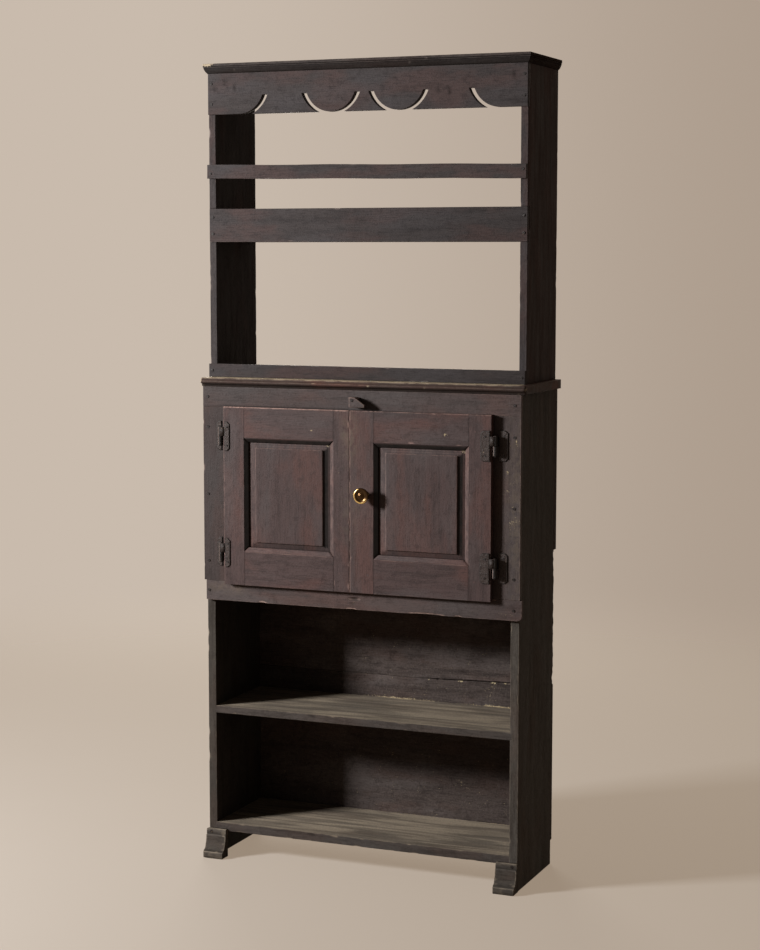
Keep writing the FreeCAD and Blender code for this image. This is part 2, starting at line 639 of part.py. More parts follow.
def door(side, outer, inner, meeting_stile):
    """A framed door; outer is the hinge edge and inner the meeting edge."""
    sign = 1 if outer.value > 0 else -1
    hinge_inner = outer - D["hinge_stile"] * sign
    meet_inner = inner + meeting_stile * sign
    depth = (door_face, door_back)
    tongue = (groove_front, groove_back)
    top_rail = door_top - D["door_top_rail"]
    bottom_rail = door_base + D["door_bottom_rail"]
    play = D["groove_play"]
    groove = D["groove_depth"]
    mould = D["mould_width"]
    reach = D["tenon_reach"]
    shoulder = D["tenon_shoulder"]
    inset = D["tenon_inset"]
    tenons = ((door_top - shoulder, top_rail + inset), (bottom_rail - inset, door_base + shoulder))
    left, right = span(hinge_inner, meet_inner)
    sight_x = (left + mould, right - mould)
    sight_z = (bottom_rail + mould, top_rail - mould)
    opening = ((left, right), (bottom_rail, top_rail), sight_x, sight_z)

    stiles = (("hinge_stile", outer, hinge_inner, -sign), ("meeting_stile", inner, meet_inner, sign))
    pegs = []
    for name, edge, face, way in stiles:
        label = f"{side}_door_{name}"
        body = board(label, span(edge, face), depth, (door_base, door_top))
        sight = face + mould * way
        extruded(body, f"{label}_edge", "XZ_Plane", -door_back, D["door_thk"],
                 [(face, bottom_rail), (sight, sight_z[0]), (sight, sight_z[1]), (face, top_rail)])
        notch(body, f"{label}_groove", span(sight, sight - groove * way), tongue,
              (bottom_rail, top_rail))
        bevel_cut(body, f"{label}_bevel", *opening)
        for spot, (high, low) in zip(("top", "bottom"), tenons):
            notch(body, f"{label}_{spot}_mortise", span(face, face - (reach + play) * way), tongue,
                  (low, high))
            peg_x = face - D["peg_back"] * way
            peg_z = (high + low) / 2
            pegs.append((f"{label}_{spot}_peg", peg_x, peg_z))
            hole(body, f"{label}_{spot}_peg_hole", (peg_x, door_face, peg_z), "+y",
                 D["peg_radius"] + D["nail_clearance"], D["door_thk"])

    rails = (("top_rail", top_rail, door_top, top_rail, tenons[0]),
             ("bottom_rail", door_base, bottom_rail, bottom_rail, tenons[1]))
    for name, low, high, inside, (tenon_high, tenon_low) in rails:
        label = f"{side}_door_{name}"
        body = board(label, (left, right), depth, (low, high))
        brick(body, f"{label}_tenons", (left - reach, right + reach),
              (groove_front + play / 2, groove_back - play / 2), (tenon_low, tenon_high))
        way = 1 if name == "top_rail" else -1
        sight = inside - mould * way
        extruded(body, f"{label}_edge", "XZ_Plane", -door_back, D["door_thk"],
                 [(left, inside), (sight_x[0], sight), (sight_x[1], sight), (right, inside)])
        notch(body, f"{label}_groove", (left, right), tongue, span(sight, sight + groove * way))
        bevel_cut(body, f"{label}_bevel", *opening)
        for _, edge, face, turn in stiles:
            peg_x = face - D["peg_back"] * turn
            hole(body, f"{label}_peg_hole_{'hinge' if turn == -sign else 'meeting'}",
                 (peg_x, door_face, (tenon_high + tenon_low) / 2), "+y",
                 D["peg_radius"] + D["nail_clearance"], D["door_thk"])

    grow = groove - play
    plate_x = (sight_x[0] - grow, sight_x[1] + grow)
    plate_z = (sight_z[0] - grow, sight_z[1] + grow)
    panel = new_body(f"{side}_door_panel")
    brick(panel, f"{side}_panel_plate", plate_x, (groove_front + play / 2, groove_back - play / 2), plate_z)
    field_x = (sight_x[0] + D["panel_side_margin"], sight_x[1] - D["panel_side_margin"])
    field_z = (sight_z[0] + D["panel_end_margin"], sight_z[1] - D["panel_end_margin"])
    field_y = door_face + D["panel_field_recess"]
    wedge = panel.newObject("PartDesign::AdditiveWedge", f"{side}_panel_margin")
    bind(wedge, Xmin=field_x[0], Xmax=field_x[1], Zmin=field_z[0], Zmax=field_z[1])
    bind(wedge, X2min=sight_x[0] + play, X2max=sight_x[1] - play)
    bind(wedge, Z2min=sight_z[0] + play, Z2max=sight_z[1] - play)
    bind(wedge, Ymin=field_y + D["panel_step"], Ymax=groove_front + play / 2)
    brick(panel, f"{side}_panel_field", field_x, (field_y, groove_front), field_z)

    solids = []
    for name, peg_x, peg_z in pegs:
        peg = doc.addObject("Part::Cylinder", name)
        peg.Placement = FreeCAD.Placement(FreeCAD.Vector(), ROTATIONS["+y"])
        bind(peg, Radius=D["peg_radius"], Height=D["door_thk"])
        bind(peg, Placement__Base__x=peg_x + origin_x, Placement__Base__y=door_face + origin_y)
        bind(peg, Placement__Base__z=peg_z)
        solids.append(peg)
    group(f"{side}_door_pegs", solids)


# ---------------------------------------------------------------- hinges
def hinge(side, level_name, middle, leaf_width):
    """A surface hinge: the upper knuckle turns with the door, the lower one is fixed."""
    sign = 1 if side == "right" else -1
    name = f"{side}_{level_name}_hinge"
    half = D["hinge_height"] / 2
    clip = D["leaf_chamfer"]
    pin_x = hinge_x * sign
    radius = D["knuckle_radius"]
    upper = (middle + D["knuckle_gap"] / 2, middle + D["knuckle_gap"] / 2 + D["knuckle_height"])
    lower = (middle - D["knuckle_gap"] / 2 - D["knuckle_height"], middle - D["knuckle_gap"] / 2)

    def plate(body, tag, near, far, back):
        corners = [
            (near, middle - half), (near, middle + half),
            (far + clip * (-1 if far.value > near.value else 1), middle + half),
            (far, middle + half - clip), (far, middle - half + clip),
            (far + clip * (-1 if far.value > near.value else 1), middle - half),
        ]
        extruded(body, f"{name}_{tag}_plate", "XZ_Plane", -back, D["leaf_thk"], corners)

    door_leaf = new_body(f"{name}_door_leaf")
    near = (door_edge - D["leaf_edge"]) * sign
    plate(door_leaf, "door", near, near - leaf_width * sign, door_face)
    brick(door_leaf, f"{name}_strap", span(near, pin_x), (leaf_front, door_face), upper)
    rod(door_leaf, f"{name}_upper_knuckle", (pin_x, hinge_y, upper[0]), "+z", radius,
        D["knuckle_height"])
    hole(door_leaf, f"{name}_upper_bore", (pin_x, hinge_y, upper[0]), "+z",
         D["hinge_pin_radius"] + D["pin_clearance"], D["knuckle_height"])

    frame_leaf = new_body(f"{name}_frame_leaf")
    outside = (hinge_x + radius) * sign
    neck = outside - D["leaf_thk"] * sign
    plate(frame_leaf, "frame", neck, neck + leaf_width * sign, frame_face)
    brick(frame_leaf, f"{name}_neck", span(neck, outside), (hinge_y, frame_face), lower)
    rod(frame_leaf, f"{name}_lower_knuckle", (pin_x, hinge_y, lower[0]), "+z", radius,
        D["knuckle_height"])
    hole(frame_leaf, f"{name}_lower_bore", (pin_x, hinge_y, lower[0]), "+z",
         D["hinge_pin_radius"] + D["nail_clearance"], D["knuckle_height"])

    pin = new_body(f"{name}_pin")
    rod(pin, f"{name}_pin_rod", (pin_x, hinge_y, lower[0] - D["pin_cap"]), "+z",
        D["hinge_pin_radius"], D["knuckle_height"] * 2 + D["knuckle_gap"] + D["pin_cap"] * 2)

    stile = f"{side}_door_hinge_stile"
    frame_stile = f"frame_{side}_stile"
    fixes = (("door", door_leaf, stile, near - leaf_width * 0.5 * sign, leaf_front),
             ("frame", frame_leaf, frame_stile, neck + leaf_width * 0.55 * sign, frame_leaf_face))
    made = {"door": [], "frame": []}
    for tag, leaf, wood, x, y in fixes:
        for spot, way in (("high", 1), ("low", -1)):
            z = middle + D["leaf_nail_spread"] * way
            title = f"{name}_{tag}_{spot}_nail"
            made[tag].append(nail_solid(title, (x, y, z), "+y", D["leaf_nail_radius"],
                                        D["leaf_nail_head_radius"], D["nail_head_thk"],
                                        D["leaf_nail_length"]))
            bore = D["leaf_nail_radius"] + D["nail_clearance"]
            hole(leaf, f"{title}_leaf_hole", (x, y, z), "+y", bore, D["leaf_thk"])
            hole(nodes[wood], f"{title}_wood_hole", (x, y, z), "+y", bore,
                 D["leaf_nail_length"] + bore)
    return made


def hinges():
    high = door_top - D["hinge_below_top"]
    low = door_base + D["hinge_above_base"]
    frame_nails = []
    for side, leaf in (("left", D["narrow_leaf"]), ("right", D["wide_leaf"])):
        door_nails = []
        for level, middle in (("upper", high), ("lower", low)):
            made = hinge(side, level, middle, leaf)
            door_nails += made["door"]
            frame_nails += made["frame"]
        group(f"{side}_door_hinge_nails", door_nails)
    group("frame_hinge_nails", frame_nails)


# ---------------------------------------------------------------- knob and latch
def knob_and_latch():
    x = knob_x
    z = knob_z
    seat = door_face - D["rose_thk"]
    knob_back = seat - D["rose_gap"]
    bore = D["spindle_radius"] + D["pin_clearance"]
    rose = new_body("knob_rose")
    rod(rose, "knob_rose_plate", (x, seat, z), "+y", D["rose_radius"], D["rose_thk"])
    hole(rose, "knob_rose_hole", (x, seat, z), "+y", bore, D["rose_thk"])

    knob = new_body("brass_knob")
    neck = D["knob_neck_radius"]
    head = D["knob_radius"]
    deep = D["knob_reach"] - D["rose_thk"] - D["rose_gap"]
    profile = [
        (NOTHING, NOTHING), (neck * 1.35, NOTHING), (neck * 1.35, deep * 0.08), (neck, deep * 0.16),
        (neck, deep * 0.38), (head * 0.62, deep * 0.46, head * 0.9), (head, deep * 0.68),
        (head, deep * 0.76, head * 0.62), (head * 0.72, deep * 0.94),
        (head * 0.5, deep), (NOTHING, deep),
    ]
    sketch = sketch_on(knob, "brass_knob_profile", "XY_Plane")
    outline(sketch, profile)
    turned = knob.newObject("PartDesign::Revolution", "brass_knob_turning")
    turned.Profile = sketch
    turned.ReferenceAxis = (sketch, ["V_Axis"])
    turned.Angle = 360
    sketch.Visibility = False
    hole(knob, "brass_knob_socket", (NOTHING, NOTHING, NOTHING), "+y",
         D["spindle_radius"] + D["nail_clearance"], deep * 0.45)
    knob.Placement.Rotation = FreeCAD.Rotation(FreeCAD.Vector(0, 0, 1), 180)
    bind(knob, Placement__Base__x=x + origin_x, Placement__Base__y=knob_back + origin_y)
    bind(knob, Placement__Base__z=z)

    tongue_front = door_back + D["latch_gap"]
    tongue_back = tongue_front + D["latch_thk"]
    spindle_front = knob_back - deep * 0.44
    spindle = new_body("knob_spindle")
    rod(spindle, "knob_spindle_rod", (x, spindle_front, z), "+y", D["spindle_radius"],
        tongue_back + D["spindle_tail"] - spindle_front)
    hole(nodes["right_door_meeting_stile"], "spindle_hole", (x, door_face, z), "+y", bore,
         D["door_thk"])

    tongue = new_body("latch_tongue")
    half = D["tongue_width"] / 2
    brick(tongue, "latch_tongue_bar", (x - half, x + half), (tongue_front, tongue_back),
          (z, z + D["tongue_length"]))
    rod(tongue, "latch_tongue_boss", (x, tongue_front, z), "+y", half, D["latch_thk"])
    hole(tongue, "latch_tongue_hole", (x, tongue_front, z), "+y",
         D["spindle_radius"] + D["nail_clearance"], D["latch_thk"])


# ---------------------------------------------------------------- turn button
def turn_button():
    x = button_x
    z = button_z
    back = frame_face - D["button_rub"]
    arm_back = door_face - D["button_gap"]
    front = arm_back - D["button_arm_thk"]
    tip = x + D["button_tip"]
    low = z - D["button_drop"]
    corners = [
        (x - D["button_tail"], low), (tip, low), (tip, low + D["button_nose"]),
        (x + D["button_shoulder"], z + D["button_rise"]), (x - D["button_tail"], z + D["button_rise"]),
    ]
    body = new_body("turn_button")
    extruded(body, "turn_button_outline", "XZ_Plane", -back, back - front, corners)
    notch(body, "turn_button_undercut", (x + D["button_foot"], tip), (arm_back, back),
          (low, z + D["button_rise"]))
    bore = D["button_nail_radius"] + D["pin_clearance"]
    hole(body, "turn_button_bore", (x, front, z), "+y", bore, back - front)
    grip = frame_face - front + D["button_nail_grip"]
    pivot = nail_solid("button_nail", (x, front, z), "+y", D["button_nail_radius"],
                       D["nail_head_radius"], D["nail_head_thk"], grip)
    nodes["button_nail"] = pivot
    hole(nodes["frame_top_rail"], "button_nail_hole", (x, frame_face, z), "+y",
         D["button_nail_radius"] + D["nail_clearance"], D["button_nail_grip"] + D["nail_radius"])


# ---------------------------------------------------------------- nails in the wood
def case_nails():
    rack_edge = rack_half - D["rack_side_thk"] / 2
    case_edge = case_half - D["case_side_thk"] / 2
    rail_face = rack_front - D["guard_rail_thk"]
    base_face = rack_front - D["base_rail_thk"]
    back_faces = (("lower", D["back_base"] + 60, D["back_low_split"] - 60, D["back_thin"]),
                  ("middle", D["back_low_split"] + 60, D["back_high_split"] - 60, D["back_thin"]),
                  ("upper", D["back_high_split"] + 60, back_top - 60, D["back_thick"]))
    for side, sign in (("left", -1), ("right", 1)):
        x = rack_edge * sign
        rack_side = f"rack_{side}_side"
        nail(f"guard_nail_{side}", x, rail_face, D["guard_rail_middle"], "+y", [rack_side])
        for spot, share in (("low", 0.25), ("high", 0.75)):
            nail(f"shelf_rail_nail_{side}_{spot}", x, shelf_rail_front,
                 D["shelf_rail_base"] + D["shelf_rail_height"] * share, "+y",
                 ["shelf_front_rail", rack_side])
            nail(f"frieze_nail_{side}_{spot}", x, frieze_front,
                 frieze_base + (D["frieze_drop"] - D["cornice_height"]) * share, "+y",
                 ["frieze", rack_side])
        nail(f"base_rail_nail_{side}", x, base_face,
             D["waist_height"] + D["base_rail_height"] / 2, "+y", ["rack_base_rail", rack_side])
        x = case_edge * sign
        case_side = f"case_{side}_side"
        spots = (("top", waist_under - D["top_rail_height"] / 2, "frame_top_rail"),
                 ("high", top_rail_base - 50, f"frame_{side}_stile"),
                 ("middle", (top_rail_base + bottom_rail_top) / 2, f"frame_{side}_stile"),
                 ("low", bottom_rail_top + 50, f"frame_{side}_stile"),
                 ("bottom", D["bottom_rail_base"] + D["bottom_rail_height"] / 2, "frame_bottom_rail"))
        for spot, z, wood in spots:
            nail(f"frame_nail_{side}_{spot}", x, frame_face, z, "+y", [wood, case_side])
        for name, low, high, thk in back_faces:
            for spot, z in (("low", low), ("high", high)):
                nail(f"back_nail_{side}_{name}_{spot}", x, back_plane + thk, z, "-y",
                     [f"back_board_{name}", case_side])
        nail(f"foot_nail_{side}", x, -D["foot_top_reach"], D["foot_height"] - D["foot_neck"] / 2,
             "+y", [f"{side}_foot", case_side])
    group("wrought_nails", wood_nails)


def guard_rail_holes():
    """The guard rail's nail holes are drilled in its own, untilted, frame."""
    reach = rack_half - D["rack_side_thk"] / 2
    bore = D["nail_radius"] + D["nail_clearance"] * 4
    for side, sign in (("left", -1), ("right", 1)):
        x = reach * sign
        lift = math.tan(math.radians(D["guard_rail_tilt"].value))
        rise = x * lift
        hole(nodes["guard_rail"], f"guard_rail_{side}_nail_hole",
             (x, rack_front - D["guard_rail_thk"], rise), "+y", bore, D["guard_rail_thk"])


def check_and_write():
    doc.recompute()
    faults = [o.Name for o in doc.Objects if "Invalid" in o.State or "Error" in o.State]
    for label, part in nodes.items():
        if part.Shape.isNull() or not part.Shape.isValid():
            faults.append(label)
    if faults:
        raise RuntimeError("not built: " + ", ".join(faults))
    os.makedirs("parts", exist_ok=True)
    for label, part in nodes.items():
        part.Shape.exportStep(os.path.join("parts", f"{label}.step"))
    print(len(nodes), "nodes written")


rack_sides()
rack_boards()
guard_rail()
frieze()
cornice()
waist_board()
case_sides()
case_boards()
face_frame()
feet()
door("left", -door_edge, left_door_end, D["left_meeting_stile"])
door("right", door_edge, right_door_end, D["right_meeting_stile"])
hinges()
knob_and_latch()
turn_button()
guard_rail_holes()
case_nails()
check_and_write()
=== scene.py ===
"""Looks of the step back cupboard: worn boards, mouldings, doors, hinges and knob round the fixed frame.

Everything is in metres in the frame's own axes: +Z up, -Y the front.  Each board is rebuilt as a
fine mesh with rounded and nicked arrises.  The meshes carry attributes that the materials read:
grain (a point measured along and across the board's fibres), edge (how rubbed a place is, and on the
hinge barrels, the knob, the doors' lamp-side arrises and some margins and beads a painted highlight),
a dark mark (grime in joints, knots and holes, and painted shade in recesses, grooves, under mouldings
and round the hinges), smear (pale grease) and shade (painted shade: the faces that stand away from
the lamps made browner and darker).
"""

import json
import math
import random

import bmesh
import bpy
import numpy as np
from mathutils import Matrix, Vector, geometry, noise


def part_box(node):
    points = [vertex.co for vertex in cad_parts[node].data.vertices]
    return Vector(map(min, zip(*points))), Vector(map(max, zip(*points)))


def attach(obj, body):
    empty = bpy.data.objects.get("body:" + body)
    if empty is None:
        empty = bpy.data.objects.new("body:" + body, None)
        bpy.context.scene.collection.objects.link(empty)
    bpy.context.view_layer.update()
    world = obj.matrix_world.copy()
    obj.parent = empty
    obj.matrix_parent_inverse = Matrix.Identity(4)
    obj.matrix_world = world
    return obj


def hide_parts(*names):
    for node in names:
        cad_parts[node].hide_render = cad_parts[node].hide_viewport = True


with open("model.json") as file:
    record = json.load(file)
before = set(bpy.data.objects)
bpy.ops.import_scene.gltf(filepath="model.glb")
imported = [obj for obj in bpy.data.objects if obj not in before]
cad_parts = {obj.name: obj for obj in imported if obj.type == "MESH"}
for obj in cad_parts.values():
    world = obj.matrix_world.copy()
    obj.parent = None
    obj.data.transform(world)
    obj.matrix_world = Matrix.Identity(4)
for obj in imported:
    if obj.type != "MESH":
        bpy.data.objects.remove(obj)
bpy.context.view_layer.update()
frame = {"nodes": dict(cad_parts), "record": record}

MM = 0.001
FINE = 7 * MM            # spacing of the vertices along a board
ARRIS = 1.3 * MM         # usual rounding of an arris
rng = random.Random(1840)

SLOT = {part["node"]: part["material_slot"] for part in frame["record"]["subparts"]}
BODY = {node: body for body, nodes in frame["record"]["behaviour"]["bodies"].items() for node in nodes}


def mm(*values):
    """Millimetres as metres."""
    return tuple(v * MM for v in values)


# ---------------------------------------------------------------- material graphs
def srgb(*values):
    """A display colour, 0 to 255, as the linear colour that shaders take."""
    linear = [v / 255 / 12.92 if v <= 10 else ((v / 255 + 0.055) / 1.055) ** 2.4 for v in values]
    return (*linear, 1.0)


class Graph:
    """A node tree and short names for the nodes that the finishes use."""

    def __init__(self, tree):
        self.tree = tree
        tree.nodes.clear()

    def add(self, kind, **settings):
        made = self.tree.nodes.new(kind)
        for key, value in settings.items():
            setattr(made, key, value)
        return made

    def plug(self, node, *pairs):
        """Fill the node's inputs from (key, value) pairs; a value is a number, a colour or a socket."""
        for key, value in pairs:
            if isinstance(value, bpy.types.NodeSocket):
                self.tree.links.new(value, node.inputs[key])
            else:
                node.inputs[key].default_value = value
        return node

    def attribute(self, name, output="Fac"):
        return self.add("ShaderNodeAttribute", attribute_name=name).outputs[output]

    def place(self, output="Object"):
        return self.add("ShaderNodeTexCoord").outputs[output]

    def part(self, vector, axis):
        return self.plug(self.add("ShaderNodeSeparateXYZ"), (0, vector)).outputs[axis]

    def stretch(self, vector, scale):
        made = self.add("ShaderNodeVectorMath", operation="MULTIPLY")
        return self.plug(made, (0, vector), (1, scale)).outputs[0]

    def noise(self, vector, scale=1.0, detail=4.0, roughness=0.55, distortion=0.0):
        made = self.plug(self.add("ShaderNodeTexNoise"), ("Vector", vector), ("Scale", scale),
                         ("Detail", detail), ("Roughness", roughness), ("Distortion", distortion))
        return made.outputs[0]

    def step(self, value, low, high, bottom=0.0, top=1.0):
        """A smooth rise from bottom to top as the value goes from low to high."""
        made = self.add("ShaderNodeMapRange", interpolation_type="SMOOTHSTEP")
        return self.plug(made, *enumerate((value, low, high, bottom, top))).outputs[0]

    def math(self, operation, first, second):
        return self.plug(self.add("ShaderNodeMath", operation=operation), (0, first), (1, second)).outputs[0]

    def times(self, first, second):
        return self.math("MULTIPLY", first, second)

    def total(self, *parts):
        """The sum of sockets or of (socket, factor) pairs."""
        parts = [self.times(*p) if isinstance(p, tuple) else p for p in parts]
        whole = parts[0]
        for part in parts[1:]:
            whole = self.math("ADD", whole, part)
        return whole

    def mix(self, first, second, share, blend="MIX"):
        made = self.add("ShaderNodeMix", data_type="RGBA", blend_type=blend)
        return self.plug(made, (0, share), (6, first), (7, second)).outputs[2]

    def bump(self, height, distance, strength):
        return self.plug(self.add("ShaderNodeBump"), ("Strength", strength), ("Distance", distance),
                         ("Height", height)).outputs[0]


class Finish(Graph):
    """A material with one shader."""

    def __init__(self, name):
        self.material = bpy.data.materials.new(name)
        self.material.use_nodes = True
        super().__init__(self.material.node_tree)
        self.shader = self.add("ShaderNodeBsdfPrincipled")
        self.plug(self.add("ShaderNodeOutputMaterial"), (0, self.shader.outputs[0]))

    def done(self, color, roughness, normal=None, metallic=0.0, specular=0.5):
        self.plug(self.shader, ("Base Color", color), ("Roughness", roughness), ("Metallic", metallic),
                  ("Specular IOR Level", specular))
        if normal:
            self.plug(self.shader, ("Normal", normal))
        return self.material


# Near-black for grime in joints and knots and for painted shade in recesses, under mouldings and round the
# hinges.
SOOT_AND_SHADE = srgb(13, 9, 7)


def old_wood(name, dark, middle, red, bloom, rubbed, red_share=0.5, bloom_share=0.5, dust=None, gloss=0.52,
             shine=0.12, spatter=(178, 160, 126)):
    """Wood under an old dark stain: fibres, red and grey clouds, rubbed arrises and painted highlights, dust,
    grime and painted shade, and spatter.
    """
    tints = (dark, middle, red, bloom, rubbed, spatter)
    dark, middle, red, bloom, rubbed, spatter = (srgb(*tint) for tint in tints)
    g = Finish(name)
    grain = g.attribute("grain", "Vector")
    fibre = g.noise(g.stretch(grain, (34, 520, 520)), detail=3, roughness=0.6)
    streak = g.noise(g.stretch(grain, (6, 70, 70)), detail=6, roughness=0.66)
    mottle = g.noise(grain, scale=260, detail=6, roughness=0.74)
    blotch = g.noise(grain, scale=48, detail=6, roughness=0.7)
    cloud = g.noise(g.stretch(grain, (5, 14, 14)), detail=5, roughness=0.52)
    haze = g.noise(g.stretch(grain, (4, 12, 12)), detail=5, roughness=0.55)

    color = g.mix(dark, middle, g.step(streak, 0.3, 0.58, 0.4, 1.0))
    for tint, pattern, low, high, share in (
            (red, cloud, 0.47, 0.62, red_share), (bloom, haze, 0.46, 0.66, bloom_share),
            (dark, blotch, 0.5, 0.68, 0.4), (dark, fibre, 0.48, 0.7, 0.5),
            (dark, mottle, 0.52, 0.68, 0.55), (bloom, mottle, 0.46, 0.34, 0.4)):
        color = g.mix(color, tint, g.step(pattern, low, high, 0, share))

    if dust:
        share = g.step(g.part(g.place("Normal"), 2), 0.6, 0.95)
        flow = g.noise(g.stretch(grain, (2.4, 32, 32)), detail=6, roughness=0.6, distortion=1.5)
        pools = g.noise(g.stretch(grain, (5, 9, 9)), detail=5, roughness=0.6)
        for pattern, low, high, least in ((flow, 0.38, 0.62, 0.4), (pools, 0.38, 0.58, 0.6),
                                          (mottle, 0.62, 0.42, 0.6)):
            share = g.times(share, g.step(pattern, low, high, least, 1.0))
        color = g.mix(color, srgb(*dust), share)

    color = g.mix(color, srgb(118, 104, 90), g.times(g.attribute("smear"), g.step(blotch, 0.4, 0.62, 0, 0.6)))
    # Painted shade: the faces given in shaded are multiplied darker and browner.
    color = g.mix(color, (0.4, 0.2, 0.13, 1), g.attribute("shade"), "MULTIPLY")
    broken = g.step(g.noise(g.stretch(grain, (42, 150, 150)), detail=4, roughness=0.6), 0.38, 0.6, 0.55, 1.1)
    # The rubbed colour: wear, and where a piece asks for it a painted highlight.
    color = g.mix(color, rubbed, g.step(g.times(g.attribute("edge"), broken), 0.1, 0.95))
    # The dark mark: grime, and painted shade where a piece sets it for recesses, shadows and faces turned
    # down.
    color = g.mix(color, SOOT_AND_SHADE, g.times(g.attribute("soot"), g.step(blotch, 0.3, 0.6, 1.0, 0.85)))

    grit = g.noise(grain, scale=330, detail=3, roughness=0.6)
    patch = g.noise(grain, scale=26, detail=3, roughness=0.6)
    spot = g.step(g.total(grit, (patch, 0.45), (g.attribute("chip"), 0.42)), 1.07, 1.14)
    color = g.mix(color, spatter, g.times(spot, 0.85))

    rough = g.total(g.step(streak, 0.3, 0.7, gloss - 0.04, gloss + 0.12), (mottle, 0.14))
    relief = g.total((fibre, 0.3), (streak, 0.6), (mottle, 0.9), (blotch, 1.5))
    return g.done(color, rough, g.bump(relief, 0.55 * MM, 0.9), specular=shine)


def dark_iron(name, paint, rubbed):
    """Wrought iron under the same stain as the wood: painted shadow and grime round its rim, painted shade on
    the barrel's far side, rubbed on its high places and a painted highlight on the barrel's lamp side.
    """
    g = Finish(name)
    place = g.place()
    scale = g.noise(place, scale=420, detail=6, roughness=0.75)
    cloud = g.noise(place, scale=110, detail=5, roughness=0.7)
    color = g.mix(srgb(*paint), srgb(36, 28, 26), g.step(scale, 0.48, 0.66, 0, 0.85))
    color = g.mix(color, srgb(34, 26, 24), g.step(cloud, 0.5, 0.66, 0, 0.7))
    # Painted shade and grime from the dark mark: round the leaves' rims, on their hidden backs and on the
    # barrels' side away from the lamp.
    color = g.mix(color, SOOT_AND_SHADE, g.attribute("soot"))
    # The rubbed colour: wear on the leaves, a painted highlight on the barrels.
    worn = g.times(g.attribute("edge"), g.step(scale, 0.36, 0.6, 0.5, 1.1))
    color = g.mix(color, srgb(*rubbed), g.step(worn, 0.2, 0.9))
    spatter = g.step(g.noise(place, scale=260, detail=2), 0.72, 0.76, 0, 0.7)
    color = g.mix(color, srgb(150, 128, 100), spatter)
    normal = g.bump(g.total(scale, (cloud, 3.0)), 0.7 * MM, 0.9)
    return g.done(color, g.step(scale, 0.3, 0.7, 0.4, 0.62), normal, specular=0.22)


def aged_brass(name):
    """Brass, bright where it is handled and where a painted highlight is set, brown elsewhere."""
    g = Finish(name)
    tarnish = g.noise(g.place(), scale=170, detail=5, roughness=0.65)
    bright = g.step(g.total(g.attribute("edge"), (tarnish, 0.5)), 0.45, 1.0)
    color = g.mix(srgb(66, 48, 30), srgb(232, 196, 128), bright)
    return g.done(color, g.step(tarnish, 0.3, 0.7, 0.16, 0.34), g.bump(tarnish, 0.15 * MM, 0.5), metallic=1.0)


# the colours are: dark, middle, red, bloom, rubbed
FRONT = old_wood("front_wood", (44, 36, 34), (79, 68, 66), (96, 70, 63), (82, 76, 75), (154, 130, 120),
                 red_share=0.4, shine=0.15)
DOOR = old_wood("door_wood", (44, 34, 33), (82, 66, 64), (100, 68, 61), (85, 77, 76), (168, 137, 127),
                shine=0.16)
RACK = old_wood("rack_wood", (38, 34, 34), (70, 64, 63), (87, 66, 62), (76, 72, 73), (112, 99, 95),
                red_share=0.45, shine=0.06)
CORNICE = old_wood("cornice_wood", (34, 27, 25), (64, 58, 56), (72, 54, 49), (72, 68, 67), (110, 99, 93),
                   red_share=0.3, shine=0.06, spatter=(190, 172, 146))
# A darker, browner copy of the rack wood for the faces that stand away from the key lamp: painted shade.
SIDE = old_wood("side_wood", (30, 22, 18), (60, 44, 36), (72, 48, 38), (64, 53, 47), (98, 84, 76),
                bloom_share=0.35, shine=0.01)
EDGE = old_wood("side_front_wood", (48, 42, 38), (85, 79, 73), (92, 74, 64), (93, 89, 84), (128, 116, 102),
                red_share=0.3, shine=0.05, spatter=(136, 126, 94))
SHELF = old_wood("shelf_wood", (42, 37, 34), (78, 71, 67), (88, 70, 62), (86, 83, 80), (132, 118, 102),
                 red_share=0.25, dust=(158, 144, 125), gloss=0.66, shine=0.06, spatter=(206, 182, 138))
BACK = old_wood("back_wood", (38, 31, 29), (86, 76, 72), (98, 76, 68), (114, 105, 102), (124, 108, 96),
                red_share=0.3, bloom_share=0.55, gloss=0.64, shine=0.08, spatter=(196, 178, 142))
MOULD = old_wood("moulding_wood", (38, 27, 23), (72, 55, 49), (108, 66, 54), (84, 73, 68), (200, 180, 152),
                 red_share=0.55, bloom_share=0.3, shine=0.14)
IRON = dark_iron("hinge_iron", (60, 49, 45), (140, 121, 112))
NAILS = dark_iron("nail_iron", (36, 29, 27), (58, 50, 46))
BRASS = aged_brass("knob_brass")


# ---------------------------------------------------------------- meshes
def smooth_noise(points, size, seed, octaves=2):
    """Smooth noise in about -1..1 at each point; size is the length of its waves in metres."""
    shift = Vector((seed * 7.31, seed * 3.17, seed * 5.73))
    return np.array([noise.fractal(Vector(p) / size + shift, 1.0, 2.0, octaves) for p in points])


def fading(distance, reach):
    """1 at no distance, falling away over the reach."""
    return np.exp(-(distance / reach) ** 2)


def unit(vectors, least=1.0):
    """The vectors at length 1; those shorter than least stay short."""
    return vectors / np.maximum(np.linalg.norm(vectors, axis=1), least)[:, None]


def axis_of(side):
    """The axis number and the sign of a side such as '+x'."""
    return "xyz".index(side[1]), 1 if side[0] == "+" else -1


def tube(rows, size, base=0):
    """Quads between rows of points; each row closes on itself and the first point has the number base."""
    return [(base + i * size + j, base + i * size + (j + 1) % size,
             base + (i + 1) * size + (j + 1) % size, base + (i + 1) * size + j)
            for i in range(rows - 1) for j in range(size)]


def capped_tube(rows, size, base=0):
    """A tube with a flat face over its first and over its last row."""
    last = base + (rows - 1) * size
    return [*tube(rows, size, base), tuple(range(base, base + size))[::-1], tuple(range(last, last + size))]


def box_of(node):
    """The lowest and the highest corner of a node."""
    low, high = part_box(node)
    return np.array(low), np.array(high)


